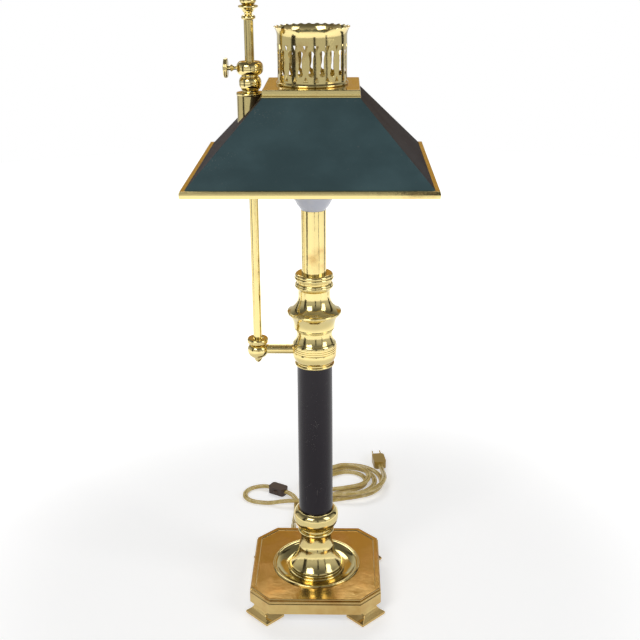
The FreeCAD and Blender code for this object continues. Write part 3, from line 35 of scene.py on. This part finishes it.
import bpy
from bpy.props import FloatProperty, FloatVectorProperty, IntProperty, PointerProperty
from mathutils import Matrix, Vector

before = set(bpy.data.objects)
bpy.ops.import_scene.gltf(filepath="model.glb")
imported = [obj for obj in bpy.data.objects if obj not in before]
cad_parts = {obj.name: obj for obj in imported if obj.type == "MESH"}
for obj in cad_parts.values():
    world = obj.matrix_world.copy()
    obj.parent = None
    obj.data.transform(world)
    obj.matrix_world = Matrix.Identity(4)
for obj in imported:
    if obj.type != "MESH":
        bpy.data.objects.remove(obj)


# Sizes and colours that a user would change


class LampFinishes(bpy.types.PropertyGroup):
    """Colours and finish of the lamp's own materials."""

    brass: FloatVectorProperty(
        name="Brass", description="Clean polished brass", subtype="COLOR", default=(0.74, 0.61, 0.27))
    brass_deep: FloatVectorProperty(
        name="Deep brass", description="Brass where it has toned",
        subtype="COLOR", default=(0.46, 0.23, 0.05))
    brass_gloss: FloatProperty(
        name="Brass roughness", description="Roughness of clean brass",
        default=0.11, min=0.02, max=0.6, subtype="FACTOR")
    # Near black lacquer, with a slight violet tint that stands in for the column's violet sheen as painted
    # sheen.
    column: FloatVectorProperty(
        name="Column", description="Lacquer on the column", subtype="COLOR", default=(0.012, 0.008, 0.013))
    # The shade's front and back and its two sides take lit and shaded copies of one paint: the front colour
    # is painted lighter and bluer as painted light and reflection, and the sides' colour is painted darker as
    # painted shade.
    shade: FloatVectorProperty(
        name="Shade", description="Paint on the shade's front and back",
        subtype="COLOR", default=(0.040, 0.076, 0.084))
    painted_shade_side: FloatVectorProperty(
        name="Shade sides", description="Paint on the shade's two sides",
        subtype="COLOR", default=(0.020, 0.012, 0.013))
    lining: FloatVectorProperty(
        name="Lining", description="Paint inside the shade", subtype="COLOR", default=(0.78, 0.75, 0.66))
    cord: FloatVectorProperty(
        name="Cord", description="Clear gold insulation of the cord",
        subtype="COLOR", default=(0.66, 0.47, 0.12))
    dust: FloatProperty(
        name="Dust", description="How many specks the dark surfaces show",
        default=0.5, min=0.0, max=1.0, subtype="FACTOR")


class LampCord(bpy.types.PropertyGroup):
    """Section and lay of the flat cord."""

    width: FloatProperty(
        name="Width", description="Width of the flat twin cord", default=0.0080, unit="LENGTH")
    thickness: FloatProperty(
        name="Thickness", description="Thickness of the flat twin cord", default=0.0050, unit="LENGTH")
    layer: FloatProperty(
        name="Layer", description="Rise from one layer of the hank to the next",
        default=0.0061, unit="LENGTH")
    turn_points: IntProperty(
        name="Points per turn", description="Route points in each full turn of the hank",
        default=12, min=12)


class LampStage(bpy.types.PropertyGroup):
    """Floor, lights and camera."""

    floor: FloatVectorProperty(
        name="Floor", description="Colour of the floor", subtype="COLOR", default=(0.86, 0.86, 0.86))
    key_power: FloatProperty(
        name="Key light", description="Power of the large front light in watts",
        default=15.0, unit="POWER")
    fill_power: FloatProperty(
        name="Fill light", description="Power of the right-hand light in watts",
        default=8.0, unit="POWER")
    back_power: FloatProperty(
        name="Back light", description="Power of the light behind in watts",
        default=9.0, unit="POWER")
    sky: FloatProperty(
        name="Surround", description="Strength of the even light all round", default=0.42)
    lens: FloatProperty(
        name="Lens", description="Focal length of the camera in millimetres", default=57.13)


# Shader building

# Sockets of a colour Mix node, whose names it shares with those for numbers
MIX_FIRST = 6
MIX_SECOND = 7
MIX_RESULT = 2

NOISE_ROUGHNESS = 0.55
SPECK_SIZE = 0.13
SPECK_PATCHES = 0.05


class Field:
    """A socket whose arithmetic adds Math nodes."""

    def __init__(self, nodes, socket):
        self.nodes = nodes
        self.socket = socket

    def maths(self, operation, first, second):
        return self.nodes.node("ShaderNodeMath", {"operation": operation}, {0: first, 1: second})

    def __add__(self, other):
        return self.maths("ADD", self, other)

    __radd__ = __add__

    def __sub__(self, other):
        return self.maths("SUBTRACT", self, other)

    def __rsub__(self, other):
        return self.maths("SUBTRACT", other, self)

    def __mul__(self, other):
        return self.maths("MULTIPLY", self, other)

    __rmul__ = __mul__

    def __gt__(self, other):
        return self.maths("GREATER_THAN", self, other)

    def __lt__(self, other):
        return self.maths("LESS_THAN", self, other)


class Nodes:
    """A node tree and the nodes that this lamp's looks add to it."""

    def __init__(self, tree):
        self.tree = tree

    def node(self, kind, settings=None, inputs=None, output=0):
        """One node: its settings first, then its sockets' values or links."""
        made = self.tree.nodes.new(kind)
        for key, value in (settings or {}).items():
            setattr(made, key, value)
        for key, value in (inputs or {}).items():
            self.connect(made.inputs[key], value)
        return Field(self, made.outputs[output])

    def connect(self, socket, value):
        if isinstance(value, Field):
            self.tree.links.new(value.socket, socket)
        else:
            socket.default_value = value

    def ray(self, kind):
        """1 for the rays of this kind, such as Camera or Glossy."""
        return self.node("ShaderNodeLightPath", output=f"Is {kind} Ray")

    def place(self, stretch=(1.0, 1.0, 1.0)):
        spot = self.node("ShaderNodeTexCoord", output="Object")
        return self.node("ShaderNodeMapping", None, {"Vector": spot, "Scale": stretch})

    def noise(self, scale, detail=4.0, stretch=(1.0, 1.0, 1.0)):
        values = {
            "Vector": self.place(stretch), "Scale": scale, "Detail": detail, "Roughness": NOISE_ROUGHNESS,
        }
        return self.node("ShaderNodeTexNoise", None, values)

    def ramp(self, value, none, full):
        """0 from none on and 1 from full on, whichever of the two is the higher."""
        settings = {"interpolation_type": "SMOOTHSTEP"}
        return self.node("ShaderNodeMapRange", settings, {"Value": value, "From Min": none, "From Max": full})

    def blend(self, factor, first, second):
        """The first colour where factor is 0 and the second where it is 1."""
        values = {"Factor": factor}
        for socket, value in ((MIX_FIRST, first), (MIX_SECOND, second)):
            values[socket] = value if isinstance(value, Field) else (*value[:3], 1.0)
        return self.node("ShaderNodeMix", {"data_type": "RGBA"}, values, MIX_RESULT)

    def specks(self, scale, share):
        """Small round marks, strewn unevenly."""
        values = {"Vector": self.place(), "Scale": scale}
        cells = self.node("ShaderNodeTexVoronoi", None, values, "Distance")
        patches = self.ramp(self.noise(scale * SPECK_PATCHES, 2.0), 0.62 - 0.2 * share, 0.78)
        return (cells < SPECK_SIZE) * patches


class Finish(Nodes):
    """The nodes of one material."""

    def __init__(self, name):
        self.material = bpy.data.materials.new(name)
        self.material.use_nodes = True
        super().__init__(self.material.node_tree)
        self.surface = self.tree.nodes["Principled BSDF"]

    def set(self, **values):
        """Values or links for the shader's own sockets, by their names."""
        for key, value in values.items():
            name = key.replace("_", " ").title().replace("Ior", "IOR")
            self.connect(self.surface.inputs[name], value)
        return self

    def bump(self, height, distance, strength=1.0):
        values = {"Height": height, "Distance": distance, "Strength": strength}
        return self.set(normal=self.node("ShaderNodeBump", None, values))


def finishes():
    return bpy.context.scene.lamp_finishes


def dress(names, material):
    """Gives CAD nodes their material."""
    for name in names:
        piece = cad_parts[name]
        piece.data.materials.clear()
        piece.data.materials.append(material)


# Edges sharper than this are rounded, once corners this close are joined
SHARP_ANGLE = math.radians(38)
JOIN_GAP = 0.00001


def soften(names, width, segments=2):
    """Rounds the sharp edges of pressed and cast pieces by a hair."""
    for name in names:
        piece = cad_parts[name]
        weld = piece.modifiers.new("join", "WELD")
        weld.merge_threshold = JOIN_GAP
        edge = piece.modifiers.new("edge", "BEVEL")
        edge.width = width
        edge.segments = segments
        edge.limit_method = "ANGLE"
        edge.angle_limit = SHARP_ANGLE
        edge.harden_normals = True


# Finishes

PIN_MARK = (0.16, 0.08, 0.025)
HAIRLINE = (0.20, 0.19, 0.18)
DUST_GREY = (0.42, 0.40, 0.36)
# Lighter patches on the cord are painted highlight; the dark fine marks are copper strands and painted shade
# in one.
CORD_PAINTED_HIGHLIGHT = (0.86, 0.70, 0.28)
STRANDS_AND_PAINTED_SHADE = (0.22, 0.11, 0.02)
# Faces of the shade whose normal points down by more than this are its inside
INSIDE_LEAN = -0.05


def paler(colour, factor, lift):
    return tuple(min(1.0, part * factor + lift) for part in colour)


def brass_finish(name, tone=0.35, wear=1.0, grain=(1.0, 1.0, 1.0), depth=0.0):
    """Polished brass: toned patches, wipe marks, pin marks and a slightly uneven surface."""
    look = finishes()
    clean = tuple(light + (deep - light) * depth for light, deep in zip(look.brass, look.brass_deep))
    finish = Finish(name)
    patches = finish.ramp(finish.noise(26.0, 5.0), 0.62 - tone * 0.35, 0.80)
    marks = finish.noise(700.0, 2.0, grain)
    spots = finish.specks(520.0, 0.4)
    colour = finish.blend(patches * 0.85, clean, look.brass_deep)
    colour = finish.blend(spots * 0.75, colour, PIN_MARK)
    wiped = finish.ramp(marks, 0.45, 0.75) * 0.07 * wear
    rough = look.brass_gloss + patches * 0.10 + wiped + spots * 0.3
    finish.set(base_color=colour, metallic=1.0, roughness=rough)
    return finish.bump(finish.noise(55.0, 3.0) + marks * 0.05 - spots * 0.2, 0.00035, 0.6).material


def turned_brass():
    """The bright brass that the base's and the column's turned pieces share."""
    made = bpy.data.materials.get("turned_brass")
    return made or brass_finish("turned_brass", 0.30, 0.6, (1.0, 1.0, 14.0))


def metal_finish(name, colour, roughness, scale=300.0, stretch=(1.0, 1.0, 1.0)):
    """Plain steel, iron or aluminium with machining or casting grain."""
    finish = Finish(name)
    grain = finish.noise(scale, 4.0, stretch)
    dull = finish.ramp(finish.noise(30.0), 0.45, 0.8)
    tint = finish.blend(dull * 0.6, colour, tuple(part * 0.55 for part in colour))
    finish.set(base_color=tint, metallic=1.0, roughness=grain * 0.25 + (roughness - 0.08) + dull * 0.12)
    return finish.bump(grain, 0.0002, 0.7).material


def lacquer_finish(name, colour, roughness, coat, streaks, lining=None, gloss=0.5):
    """Dark paint on metal with a soft sheen, hairline marks and dust."""
    finish = Finish(name)
    cloud = finish.ramp(finish.noise(14.0, 5.0, streaks), 0.35, 0.75)
    marks = finish.ramp(finish.noise(240.0, 3.0, streaks), 0.66, 0.74)
    specks = finish.specks(420.0, finishes().dust)
    tint = finish.blend(cloud * 0.7, colour, paler(colour, 1.7, 0.004))
    tint = finish.blend(marks * 0.18, tint, HAIRLINE)
    tint = finish.blend(specks * 0.7, tint, DUST_GREY)
    if lining is not None:
        facing = finish.node("ShaderNodeNewGeometry", output="True Normal")
        height = finish.node("ShaderNodeSeparateXYZ", None, {"Vector": facing}, "Z")
        tint = finish.blend(height < INSIDE_LEAN, tint, lining)
    rough = roughness + cloud * 0.10 + specks * 0.3 - marks * 0.06
    finish.set(base_color=tint, roughness=rough, coat_weight=cloud * (coat * -0.4) + coat)
    finish.set(coat_roughness=0.16, specular_ior_level=gloss)
    return finish.bump(finish.noise(90.0, 3.0, streaks) + marks * -0.3 + specks * 0.6, 0.0003, 0.35).material


def plastic_finish(name, colour, roughness, grain=600.0, coat=0.1):
    """Moulded plastic with a fine moulding texture and handling marks."""
    finish = Finish(name)
    fine = finish.noise(grain, 3.0)
    worn = finish.ramp(finish.noise(45.0), 0.5, 0.8)
    tint = finish.blend(worn * 0.6, colour, paler(colour, 1.25, 0.01))
    finish.set(base_color=tint, roughness=roughness + fine * 0.12 - worn * 0.05, coat_weight=coat)
    return finish.bump(fine, 0.00015, 0.5).material


def cord_finish(name, colour):
    """Clear gold insulation over copper strands, with lighter patches as painted highlight and dark strand
    marks that also stand in as painted shade.
    """
    finish = Finish(name)
    strands = finish.noise(1500.0, 2.0)
    cloud = finish.ramp(finish.noise(60.0), 0.35, 0.7)
    # Lighter cloudy patches: painted highlight.
    tint = finish.blend(cloud * 0.8, colour, CORD_PAINTED_HIGHLIGHT)
    # Dark fine marks: copper strands, and painted shade as well.
    tint = finish.blend(finish.ramp(strands, 0.5, 0.7) * 0.45, tint, STRANDS_AND_PAINTED_SHADE)
    finish.set(base_color=tint, roughness=0.20 + cloud * 0.12, coat_weight=0.4)
    finish.set(transmission_weight=0.06, ior=1.5)
    return finish.bump(strands, 0.0001, 0.4).material


# Pieces

FEET = ["foot_front_left", "foot_front_right", "foot_back_left", "foot_back_right"]


class LAMP_OT_base(bpy.types.Operator):
    """Finish the footed base, its dish, trumpet, weight and bottom plate."""

    bl_idname = "lamp.base"
    bl_label = "Base"

    def execute(self, context):
        # The base's shell and feet take the brass a third of the way to the deep colour all over, so they
        # render darker and more orange than the turned pieces, and they also get more toned patches.
        toned = brass_finish("toned_brass", 0.75, 1.0, depth=0.35)
        dress(["base_shell", *FEET], toned)
        dress(["base_dish", "plinth_ring", "trumpet", "column_cup"], turned_brass())
        dress(["base_weight"], metal_finish("cast_weight", (0.10, 0.10, 0.10), 0.6, 160.0))
        dress(["base_cover", "foot_screws"], metal_finish("plated_steel", (0.55, 0.55, 0.56), 0.3))
        soften(["base_shell"], 0.00035)
        soften(FEET, 0.0006)
        return {"FINISHED"}


class LAMP_OT_column(bpy.types.Operator):
    """Finish the column, its collar, candle cup and candle tube, and the rod and nuts inside."""

    bl_idname = "lamp.column"
    bl_label = "Column"

    def execute(self, context):
        dress(["collar_body", "candle_cup"], turned_brass())
        dress(["candle_tube"], brass_finish("drawn_brass", 0.35, 1.0, (6.0, 6.0, 0.4)))
        # The column's lacquer colour carries a painted violet sheen in its tint.
        lacquer = lacquer_finish(
            "column_lacquer", finishes().column, 0.24, 0.10, (1.0, 1.0, 0.25), gloss=0.22)
        dress(["column_tube"], lacquer)
        inner = metal_finish("rod_steel", (0.50, 0.50, 0.50), 0.35, 500.0, (0.3, 0.3, 4.0))
        dress(["tie_rod", "base_nut", "base_washer", "column_nut"], inner)
        return {"FINISHED"}


class LAMP_OT_bulb(bpy.types.Operator):
    """Finish the lampholder and the bulb."""

    bl_idname = "lamp.bulb"
    bl_label = "Bulb and lampholder"

    def execute(self, context):
        dress(["lampholder"], plastic_finish("holder_black", (0.03, 0.03, 0.03), 0.45))
        dress(["screw_shell", "centre_contact"], brass_finish("contact_brass", 0.4, 1.0))
        dress(["bulb_cap"], metal_finish("cap_metal", (0.70, 0.70, 0.70), 0.25, 700.0, (0.2, 0.2, 5.0)))
        dress(["bulb_tip"], plastic_finish("cap_glass", (0.05, 0.04, 0.06), 0.15))
        dress(["led_board"], metal_finish("board_metal", (0.80, 0.80, 0.80), 0.4))
        white = plastic_finish("bulb_white", (0.82, 0.85, 0.98), 0.30, 900.0, 0.3)
        dress(["bulb_body", "bulb_dome"], white)
        return {"FINISHED"}


class LAMP_OT_arm(bpy.types.Operator):
    """Finish the side arm, guide rod, sliding head and thumbscrew."""

    bl_idname = "lamp.arm"
    bl_label = "Arm and rod"

    def execute(self, context):
        turned = brass_finish("arm_brass", 0.35, 0.7, (1.0, 1.0, 10.0))
        dress(["side_arm", "arm_nut", "rod_ball", "rod_tip", "rod_finial"], turned)
        dress(["clamp_head", "swivel_ring", "thumbscrew"], turned)
        dress(["guide_rod"], brass_finish("rod_brass", 0.25, 1.0, (8.0, 8.0, 0.3)))
        return {"FINISHED"}


class LAMP_OT_shade(bpy.types.Operator):
    """Finish the shade's panels, rim, plate, crown, sleeve and bracket."""

    bl_idname = "lamp.shade"
    bl_label = "Shade"

    def execute(self, context):
        look = finishes()
        # One paint in two copies: the front and back lighter and bluer as painted light and reflection, the
        # two sides darker as painted shade.
        front = lacquer_finish("shade_paint", look.shade, 0.36, 0.12, (0.7, 1.0, 1.0), look.lining, 0.35)
        side = lacquer_finish(
            "shade_side_paint", look.painted_shade_side, 0.50, 0.0, (1.0, 0.7, 1.0), look.lining, 0.04)
        dress(["panel_front", "panel_back"], front)
        dress(["panel_left", "panel_right"], side)
        dress(["shade_rim", "top_plate", "gallery"], brass_finish("sheet_brass", 0.30, 1.0))
        bearing = ["sleeve_tube", "sleeve_bush_top", "sleeve_bush_bottom", "shade_bracket"]
        dress(bearing, brass_finish("sleeve_brass", 0.5, 1.0))
        soften(["shade_rim", "top_plate"], 0.0004)
        return {"FINISHED"}


# Points that steer the cord's two smooth lines: from the bush to the switch, and on to the hank
LEAD_ROUTE = [
    (-0.036, 0.095, 0.023), (-0.036, 0.106, 0.023), (-0.0366, 0.122, 0.0178),
    (-0.0374, 0.138, 0.0078), (-0.037, 0.157, 0.0026), (-0.0356, 0.177, 0.0026),
    (-0.036, 0.197, 0.0026), (-0.0366, 0.214, 0.0026), (-0.0396, 0.2234, 0.0034),
    (-0.0459, 0.2311, 0.0052), (-0.0546, 0.2361, 0.006),
]
LOOP_ROUTE = [
    (-0.0788, 0.2501, 0.006), (-0.0866, 0.2546, 0.0052), (-0.0984, 0.2567, 0.0034),
    (-0.1097, 0.2526, 0.0026), (-0.1170, 0.2432, 0.0026), (-0.1190, 0.2316, 0.0026),
    (-0.1150, 0.2203, 0.0026), (-0.1058, 0.2126, 0.0026), (-0.0925, 0.2089, 0.0026),
    (-0.077, 0.207, 0.0026), (-0.055, 0.2025, 0.0095), (-0.027, 0.204, 0.0095),
    (-0.005, 0.2106, 0.0026), (0.014, 0.2157, 0.0026),
]
# The hank's loose turns in order, right and left by turns: middle, radius and layer
HANK_TURNS = [
    ((0.046, 0.278), 0.0515, 0), ((0.006, 0.2566), 0.0335, 0), ((0.045, 0.278), 0.0415, 0),
    ((0.006, 0.2566), 0.0246, 0), ((0.043, 0.277), 0.029, 0), ((0.006, 0.257), 0.020, 1),
    ((0.041, 0.283), 0.036, 1), ((0.004, 0.254), 0.032, 1), ((0.047, 0.273), 0.055, 2),
]
# Height of the lowest layer's middle, the angle at which the last turn ends, and the run into the plug
HANK_FLOOR = 0.0026
HANK_END = math.radians(8.0)
PLUG_ENTRY = Vector((0.0974, 0.3216, 0.0065))
PLUG_LEAD = 0.015


def touch_angle(first, first_radius, second, second_radius):
    """Angle at which the run leaves one turn and meets the next."""
    gap = math.dist(first, second)
    way = math.atan2(second[1] - first[1], second[0] - first[0])
    return way + math.asin((first_radius - second_radius) / gap) - math.pi / 2


def hank_route(layer, per_turn):
    """Route points round every turn, on the corners of the figure that encloses it."""
    points = []
    begin = touch_angle(LOOP_ROUTE[-1][:2], 0.0, *HANK_TURNS[0][:2])
    for index, (middle, radius, floor) in enumerate(HANK_TURNS):
        following = HANK_TURNS[index + 1] if index + 1 < len(HANK_TURNS) else None
        finish = touch_angle(middle, radius, following[0], following[1]) if following else HANK_END
        while finish < begin:
            finish += 2 * math.pi
        count = max(3, math.ceil((finish - begin) / (2 * math.pi) * per_turn))
        step = (finish - begin) / count
        corner = radius / math.cos(step / 2)
        level = HANK_FLOOR + layer * floor
        for place in range(count):
            angle = begin + step * (place + 0.5)
            across, along = corner * math.cos(angle), corner * math.sin(angle)
            points.append((middle[0] + across, middle[1] + along, level))
        begin = finish
    lead = PLUG_ENTRY - Vector((-math.sin(HANK_END), math.cos(HANK_END), 0)) * PLUG_LEAD
    points.append(tuple(lead))
    points.append(tuple(PLUG_ENTRY))
    return points


# Points on each conductor's round, and how far round from the cord's middle each round stops.
# At the default sizes the rounds would meet at 53.13 degrees, so each passes the middle by 0.04 mm.
ROUND_POINTS = 11
GROOVE_ANGLE = math.radians(52)


def cord_section(width, thickness):
    """The flat twin's outline: two round conductors side by side with a groove between them."""
    section = bpy.data.curves.new("cord_section", "CURVE")
    section.dimensions = "2D"
    line = section.splines.new("POLY")
    radius = thickness / 2
    offset = width / 2 - radius
    spots = []
    for side in (1, -1):
        for index in range(ROUND_POINTS):
            sweep = (2 * math.pi - 2 * GROOVE_ANGLE) * index / (ROUND_POINTS - 1)
            angle = -math.pi + GROOVE_ANGLE + sweep
            spots.append((side * (offset + radius * math.cos(angle)), side * radius * math.sin(angle)))
    line.points.add(len(spots) - 1)
    for point, (across, up) in zip(line.points, spots):
        point.co = (across, up, 0, 1)
    line.use_cyclic_u = True
    holder = bpy.data.objects.new("cord_section", section)
    bpy.context.scene.collection.objects.link(holder)
    holder.hide_render = True
    holder.hide_viewport = True
    return holder


def lay_cord(name, route, section, material):
    """One smooth length of cord along its route."""
    curve = bpy.data.curves.new(name, "CURVE")
    curve.dimensions = "3D"
    curve.twist_mode = "Z_UP"
    curve.resolution_u = 8
    line = curve.splines.new("NURBS")
    line.points.add(len(route) - 1)
    for point, spot in zip(line.points, route):
        point.co = (*spot, 1.0)
    line.order_u = 3
    line.use_endpoint_u = True
    curve.bevel_mode = "OBJECT"
    curve.bevel_object = section
    curve.use_fill_caps = True
    curve.materials.append(material)
    piece = bpy.data.objects.new(name, curve)
    bpy.context.scene.collection.objects.link(piece)
    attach(piece, "stand")
    return piece


class LAMP_OT_cord(bpy.types.Operator):
    """Lay the cord and finish its bush, switch and plug."""

    bl_idname = "lamp.cord"
    bl_label = "Cord"

    def execute(self, context):
        lay = context.scene.lamp_cord
        gold = cord_finish("cord_gold", finishes().cord)
        section = cord_section(lay.width, lay.thickness)
        lead = lay_cord("lead", LEAD_ROUTE, section, gold)
        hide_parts("cord_lead")
        coil = lay_cord("coiled_cord", LOOP_ROUTE + hank_route(lay.layer, lay.turn_points), section, gold)
        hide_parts("cord_loop", "cord_hank")
        dress(["switch_base", "switch_cover"], plastic_finish("switch_brown", (0.055, 0.028, 0.016), 0.32))
        dress(["plug_body"], plastic_finish("plug_gold", (0.42, 0.27, 0.05), 0.28))
        dress(["switch_wheel"], plastic_finish("wheel_brown", (0.09, 0.05, 0.03), 0.38))
        dress(["switch_pin"], metal_finish("pin_steel", (0.55, 0.55, 0.55), 0.3))
        dress(["plug_blades"], brass_finish("blade_brass", 0.2, 1.0))
        dress(["cord_bush", "inner_wire"], gold)
        soften(["switch_base", "switch_cover"], 0.0005)
        soften(["plug_body"], 0.001, 3)
        return {"FINISHED"}


# Stage: floor, surround, lights and camera

FLOOR_RADIUS = 3.0
FLOOR_CORNERS = 64
FLOOR_DROP = 0.0003
# The floor's own glow as the camera sees it: near the lamp, what it gains outwards, and where
GLOW_NEAR = 0.42
GLOW_GAIN = 0.8
GLOW_START = 0.30
GLOW_END = 1.10

# The surround's strength overhead, what it gains lower down, and the heights between which it does
SKY_OVERHEAD = 0.25
SKY_GAIN = 0.9
SKY_HIGH = 0.75
SKY_LOW = 0.10
# What polished and clear surfaces see of the surround over and above its light
SKY_GLOSS = 0.12

# Cards out of view that polished metal shows as streaks: name, place, size, turn in degrees, colour
CARD_DARK = (0.02, 0.017, 0.015)
CARD_WARM = (0.72, 0.42, 0.09)
CARDS = [
    ("left_card", (-1.25, -0.75, 0.55), (0.75, 1.7), 62, CARD_DARK),
    ("right_card", (1.05, -0.95, 0.60), (0.55, 1.6), -55, CARD_DARK),
    ("front_card", (0.30, -1.75, 0.70), (0.22, 1.3), -12, CARD_DARK),
    ("rear_left_card", (-1.15, 0.85, 0.55), (0.9, 1.8), -53, CARD_DARK),
    ("rear_right_card", (1.20, 0.75, 0.55), (0.8, 1.8), 58, CARD_DARK),
    ("rear_card", (0.05, 1.75, 1.15), (2.0, 0.75), 0, CARD_WARM),
]

CAMERA_PLACE = (0.034956, -1.162706, 0.828451)
CAMERA_YAW = math.radians(-1.3836)
CAMERA_PITCH = math.radians(20.844)
CAMERA_ROLL = math.radians(-0.3576)
SENSOR_WIDTH = 36.0


def area_light(name, place, target, size, power):
    """A soft rectangular light that faces its target."""
    lamp = bpy.data.lights.new(name, "AREA")
    lamp.shape = "RECTANGLE"
    lamp.size, lamp.size_y = size
    lamp.energy = power
    holder = bpy.data.objects.new(name, lamp)
    bpy.context.scene.collection.objects.link(holder)
    holder.location = place
    holder.rotation_euler = (Vector(target) - Vector(place)).to_track_quat("-Z", "Y").to_euler()


def flag(name, place, size, turn, colour):
    """An upright card that only reflections show."""
    mesh = bpy.data.meshes.new(name)
    wide, tall = size[0] / 2, size[1] / 2
    corners = [(-wide, 0, -tall), (wide, 0, -tall), (wide, 0, tall), (-wide, 0, tall)]
    mesh.from_pydata(corners, [], [(0, 1, 2, 3)])
    card = bpy.data.objects.new(name, mesh)
    bpy.context.scene.collection.objects.link(card)
    card.location = place
    card.rotation_euler = (0, 0, math.radians(turn))
    card.visible_camera = False
    card.visible_diffuse = False
    card.visible_shadow = False
    mesh.materials.append(Finish(name).set(base_color=(*colour, 1.0), roughness=0.9).material)
    return card


class LAMP_OT_stage(bpy.types.Operator):
    """Set the floor, the surround, the lights and the camera."""

    bl_idname = "lamp.stage"
    bl_label = "Stage"

    def execute(self, context):
        scene = context.scene
        look = scene.lamp_stage
        floor = self.floor(scene, look)
        [flag(*card) for card in CARDS]
        self.surround(scene, look)
        area_light("key_light", (-0.95, -1.55, 1.75), (0, 0, 0.35), (1.0, 1.0), look.key_power)
        area_light("fill_light", (1.55, -0.75, 1.25), (0, 0, 0.35), (0.7, 1.3), look.fill_power)
        area_light("back_light", (-0.25, 1.35, 1.65), (0, 0, 0.45), (1.2, 0.7), look.back_power)
        self.camera(scene, look)
        scene.view_settings.view_transform = "Standard"
        return {"FINISHED"}

    def floor(self, scene, look):
        """A round pale floor that keeps the lamp's shadow and fades to white away from it."""
        mesh = bpy.data.meshes.new("floor")
        turns = [2 * math.pi * corner / FLOOR_CORNERS for corner in range(FLOOR_CORNERS)]
        ring = [(FLOOR_RADIUS * math.cos(a), FLOOR_RADIUS * math.sin(a), -FLOOR_DROP) for a in turns]
        mesh.from_pydata(ring, [], [tuple(range(FLOOR_CORNERS))])
        floor = bpy.data.objects.new("floor", mesh)
        scene.collection.objects.link(floor)
        paper = Finish("floor_paper")
        seen = paper.ray("Camera") + paper.ray("Glossy") + paper.ray("Transmission")
        away = paper.node("ShaderNodeVectorMath", {"operation": "LENGTH"}, {0: paper.place()}, "Value")
        glow = (seen > 0.5) * (paper.ramp(away, GLOW_START, GLOW_END) * GLOW_GAIN + GLOW_NEAR)
        paper.set(base_color=(*look.floor, 1.0), roughness=0.9, emission_strength=1.0)
        paper.set(emission_color=paper.blend(glow, (0.0, 0.0, 0.0), (1.0, 1.0, 1.0)))
        mesh.materials.append(paper.material)
        return floor

    def surround(self, scene, look):
        """Even light all round, paler low down and darker overhead; the camera sees white."""
        world = bpy.data.worlds.new("studio")
        scene.world = world
        world.use_nodes = True
        sky = Nodes(world.node_tree)
        ground = sky.tree.nodes["Background"]
        way = sky.node("ShaderNodeTexCoord", output="Generated")
        height = sky.node("ShaderNodeSeparateXYZ", None, {"Vector": way}, "Z")
        dome = sky.ramp(height, SKY_HIGH, SKY_LOW) * SKY_GAIN + SKY_OVERHEAD
        camera = sky.ray("Camera")
        glossy = sky.ray("Glossy") + sky.ray("Transmission")
        strength = dome * look.sky * (1 - camera) + camera + glossy * dome * SKY_GLOSS
        ground.inputs["Color"].default_value = (1.0, 1.0, 1.0, 1.0)
        sky.connect(ground.inputs["Strength"], strength)

    def camera(self, scene, look):
        """The photograph's view: its place, then the way it faces, with its roll."""
        lens = bpy.data.cameras.new("camera")
        lens.lens = look.lens
        lens.sensor_width = SENSOR_WIDTH
        lens.clip_start = 0.01
        lens.clip_end = 50.0
        holder = bpy.data.objects.new("camera", lens)
        scene.collection.objects.link(holder)
        level, drop = math.cos(CAMERA_PITCH), math.sin(CAMERA_PITCH)
        forward = Vector((math.sin(CAMERA_YAW) * level, math.cos(CAMERA_YAW) * level, -drop))
        right = Vector((math.cos(CAMERA_YAW), -math.sin(CAMERA_YAW), 0))
        up = right.cross(forward)
        across = right * math.cos(CAMERA_ROLL) + up * math.sin(CAMERA_ROLL)
        rise = up * math.cos(CAMERA_ROLL) - right * math.sin(CAMERA_ROLL)
        turn = Matrix((across, rise, -forward)).transposed().to_4x4()
        holder.matrix_world = Matrix.Translation(Vector(CAMERA_PLACE)) @ turn
        scene.camera = holder


class LAMP_PT_looks(bpy.types.Panel):
    """Lists the lamp's pieces and their settings."""

    bl_label = "Lamp"
    bl_space_type = "VIEW_3D"
    bl_region_type = "UI"
    bl_category = "Lamp"

    def draw(self, context):
        scene = context.scene
        for group in (scene.lamp_finishes, scene.lamp_cord, scene.lamp_stage):
            box = self.layout.box()
            for name in group.bl_rna.properties.keys():
                if name not in {"rna_type", "name"}:
                    box.prop(group, name)
        for operator in OPERATORS:
            self.layout.operator(operator.bl_idname)


OPERATORS = (
    LAMP_OT_stage, LAMP_OT_base, LAMP_OT_column, LAMP_OT_bulb, LAMP_OT_arm, LAMP_OT_shade, LAMP_OT_cord,
)
CLASSES = (LampFinishes, LampCord, LampStage, *OPERATORS, LAMP_PT_looks)


def register():
    for item in CLASSES:
        bpy.utils.register_class(item)
    bpy.types.Scene.lamp_finishes = PointerProperty(type=LampFinishes)
    bpy.types.Scene.lamp_cord = PointerProperty(type=LampCord)
    bpy.types.Scene.lamp_stage = PointerProperty(type=LampStage)


def unregister():
    del bpy.types.Scene.lamp_stage
    del bpy.types.Scene.lamp_cord
    del bpy.types.Scene.lamp_finishes
    for item in reversed(CLASSES):
        bpy.utils.unregister_class(item)


def main():
    register()
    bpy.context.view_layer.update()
    bpy.ops.lamp.stage()
    bpy.ops.lamp.base()
    bpy.ops.lamp.column()
    bpy.ops.lamp.bulb()
    bpy.ops.lamp.arm()
    bpy.ops.lamp.shade()
    bpy.ops.lamp.cord()


if __name__ == "__main__":
    main()
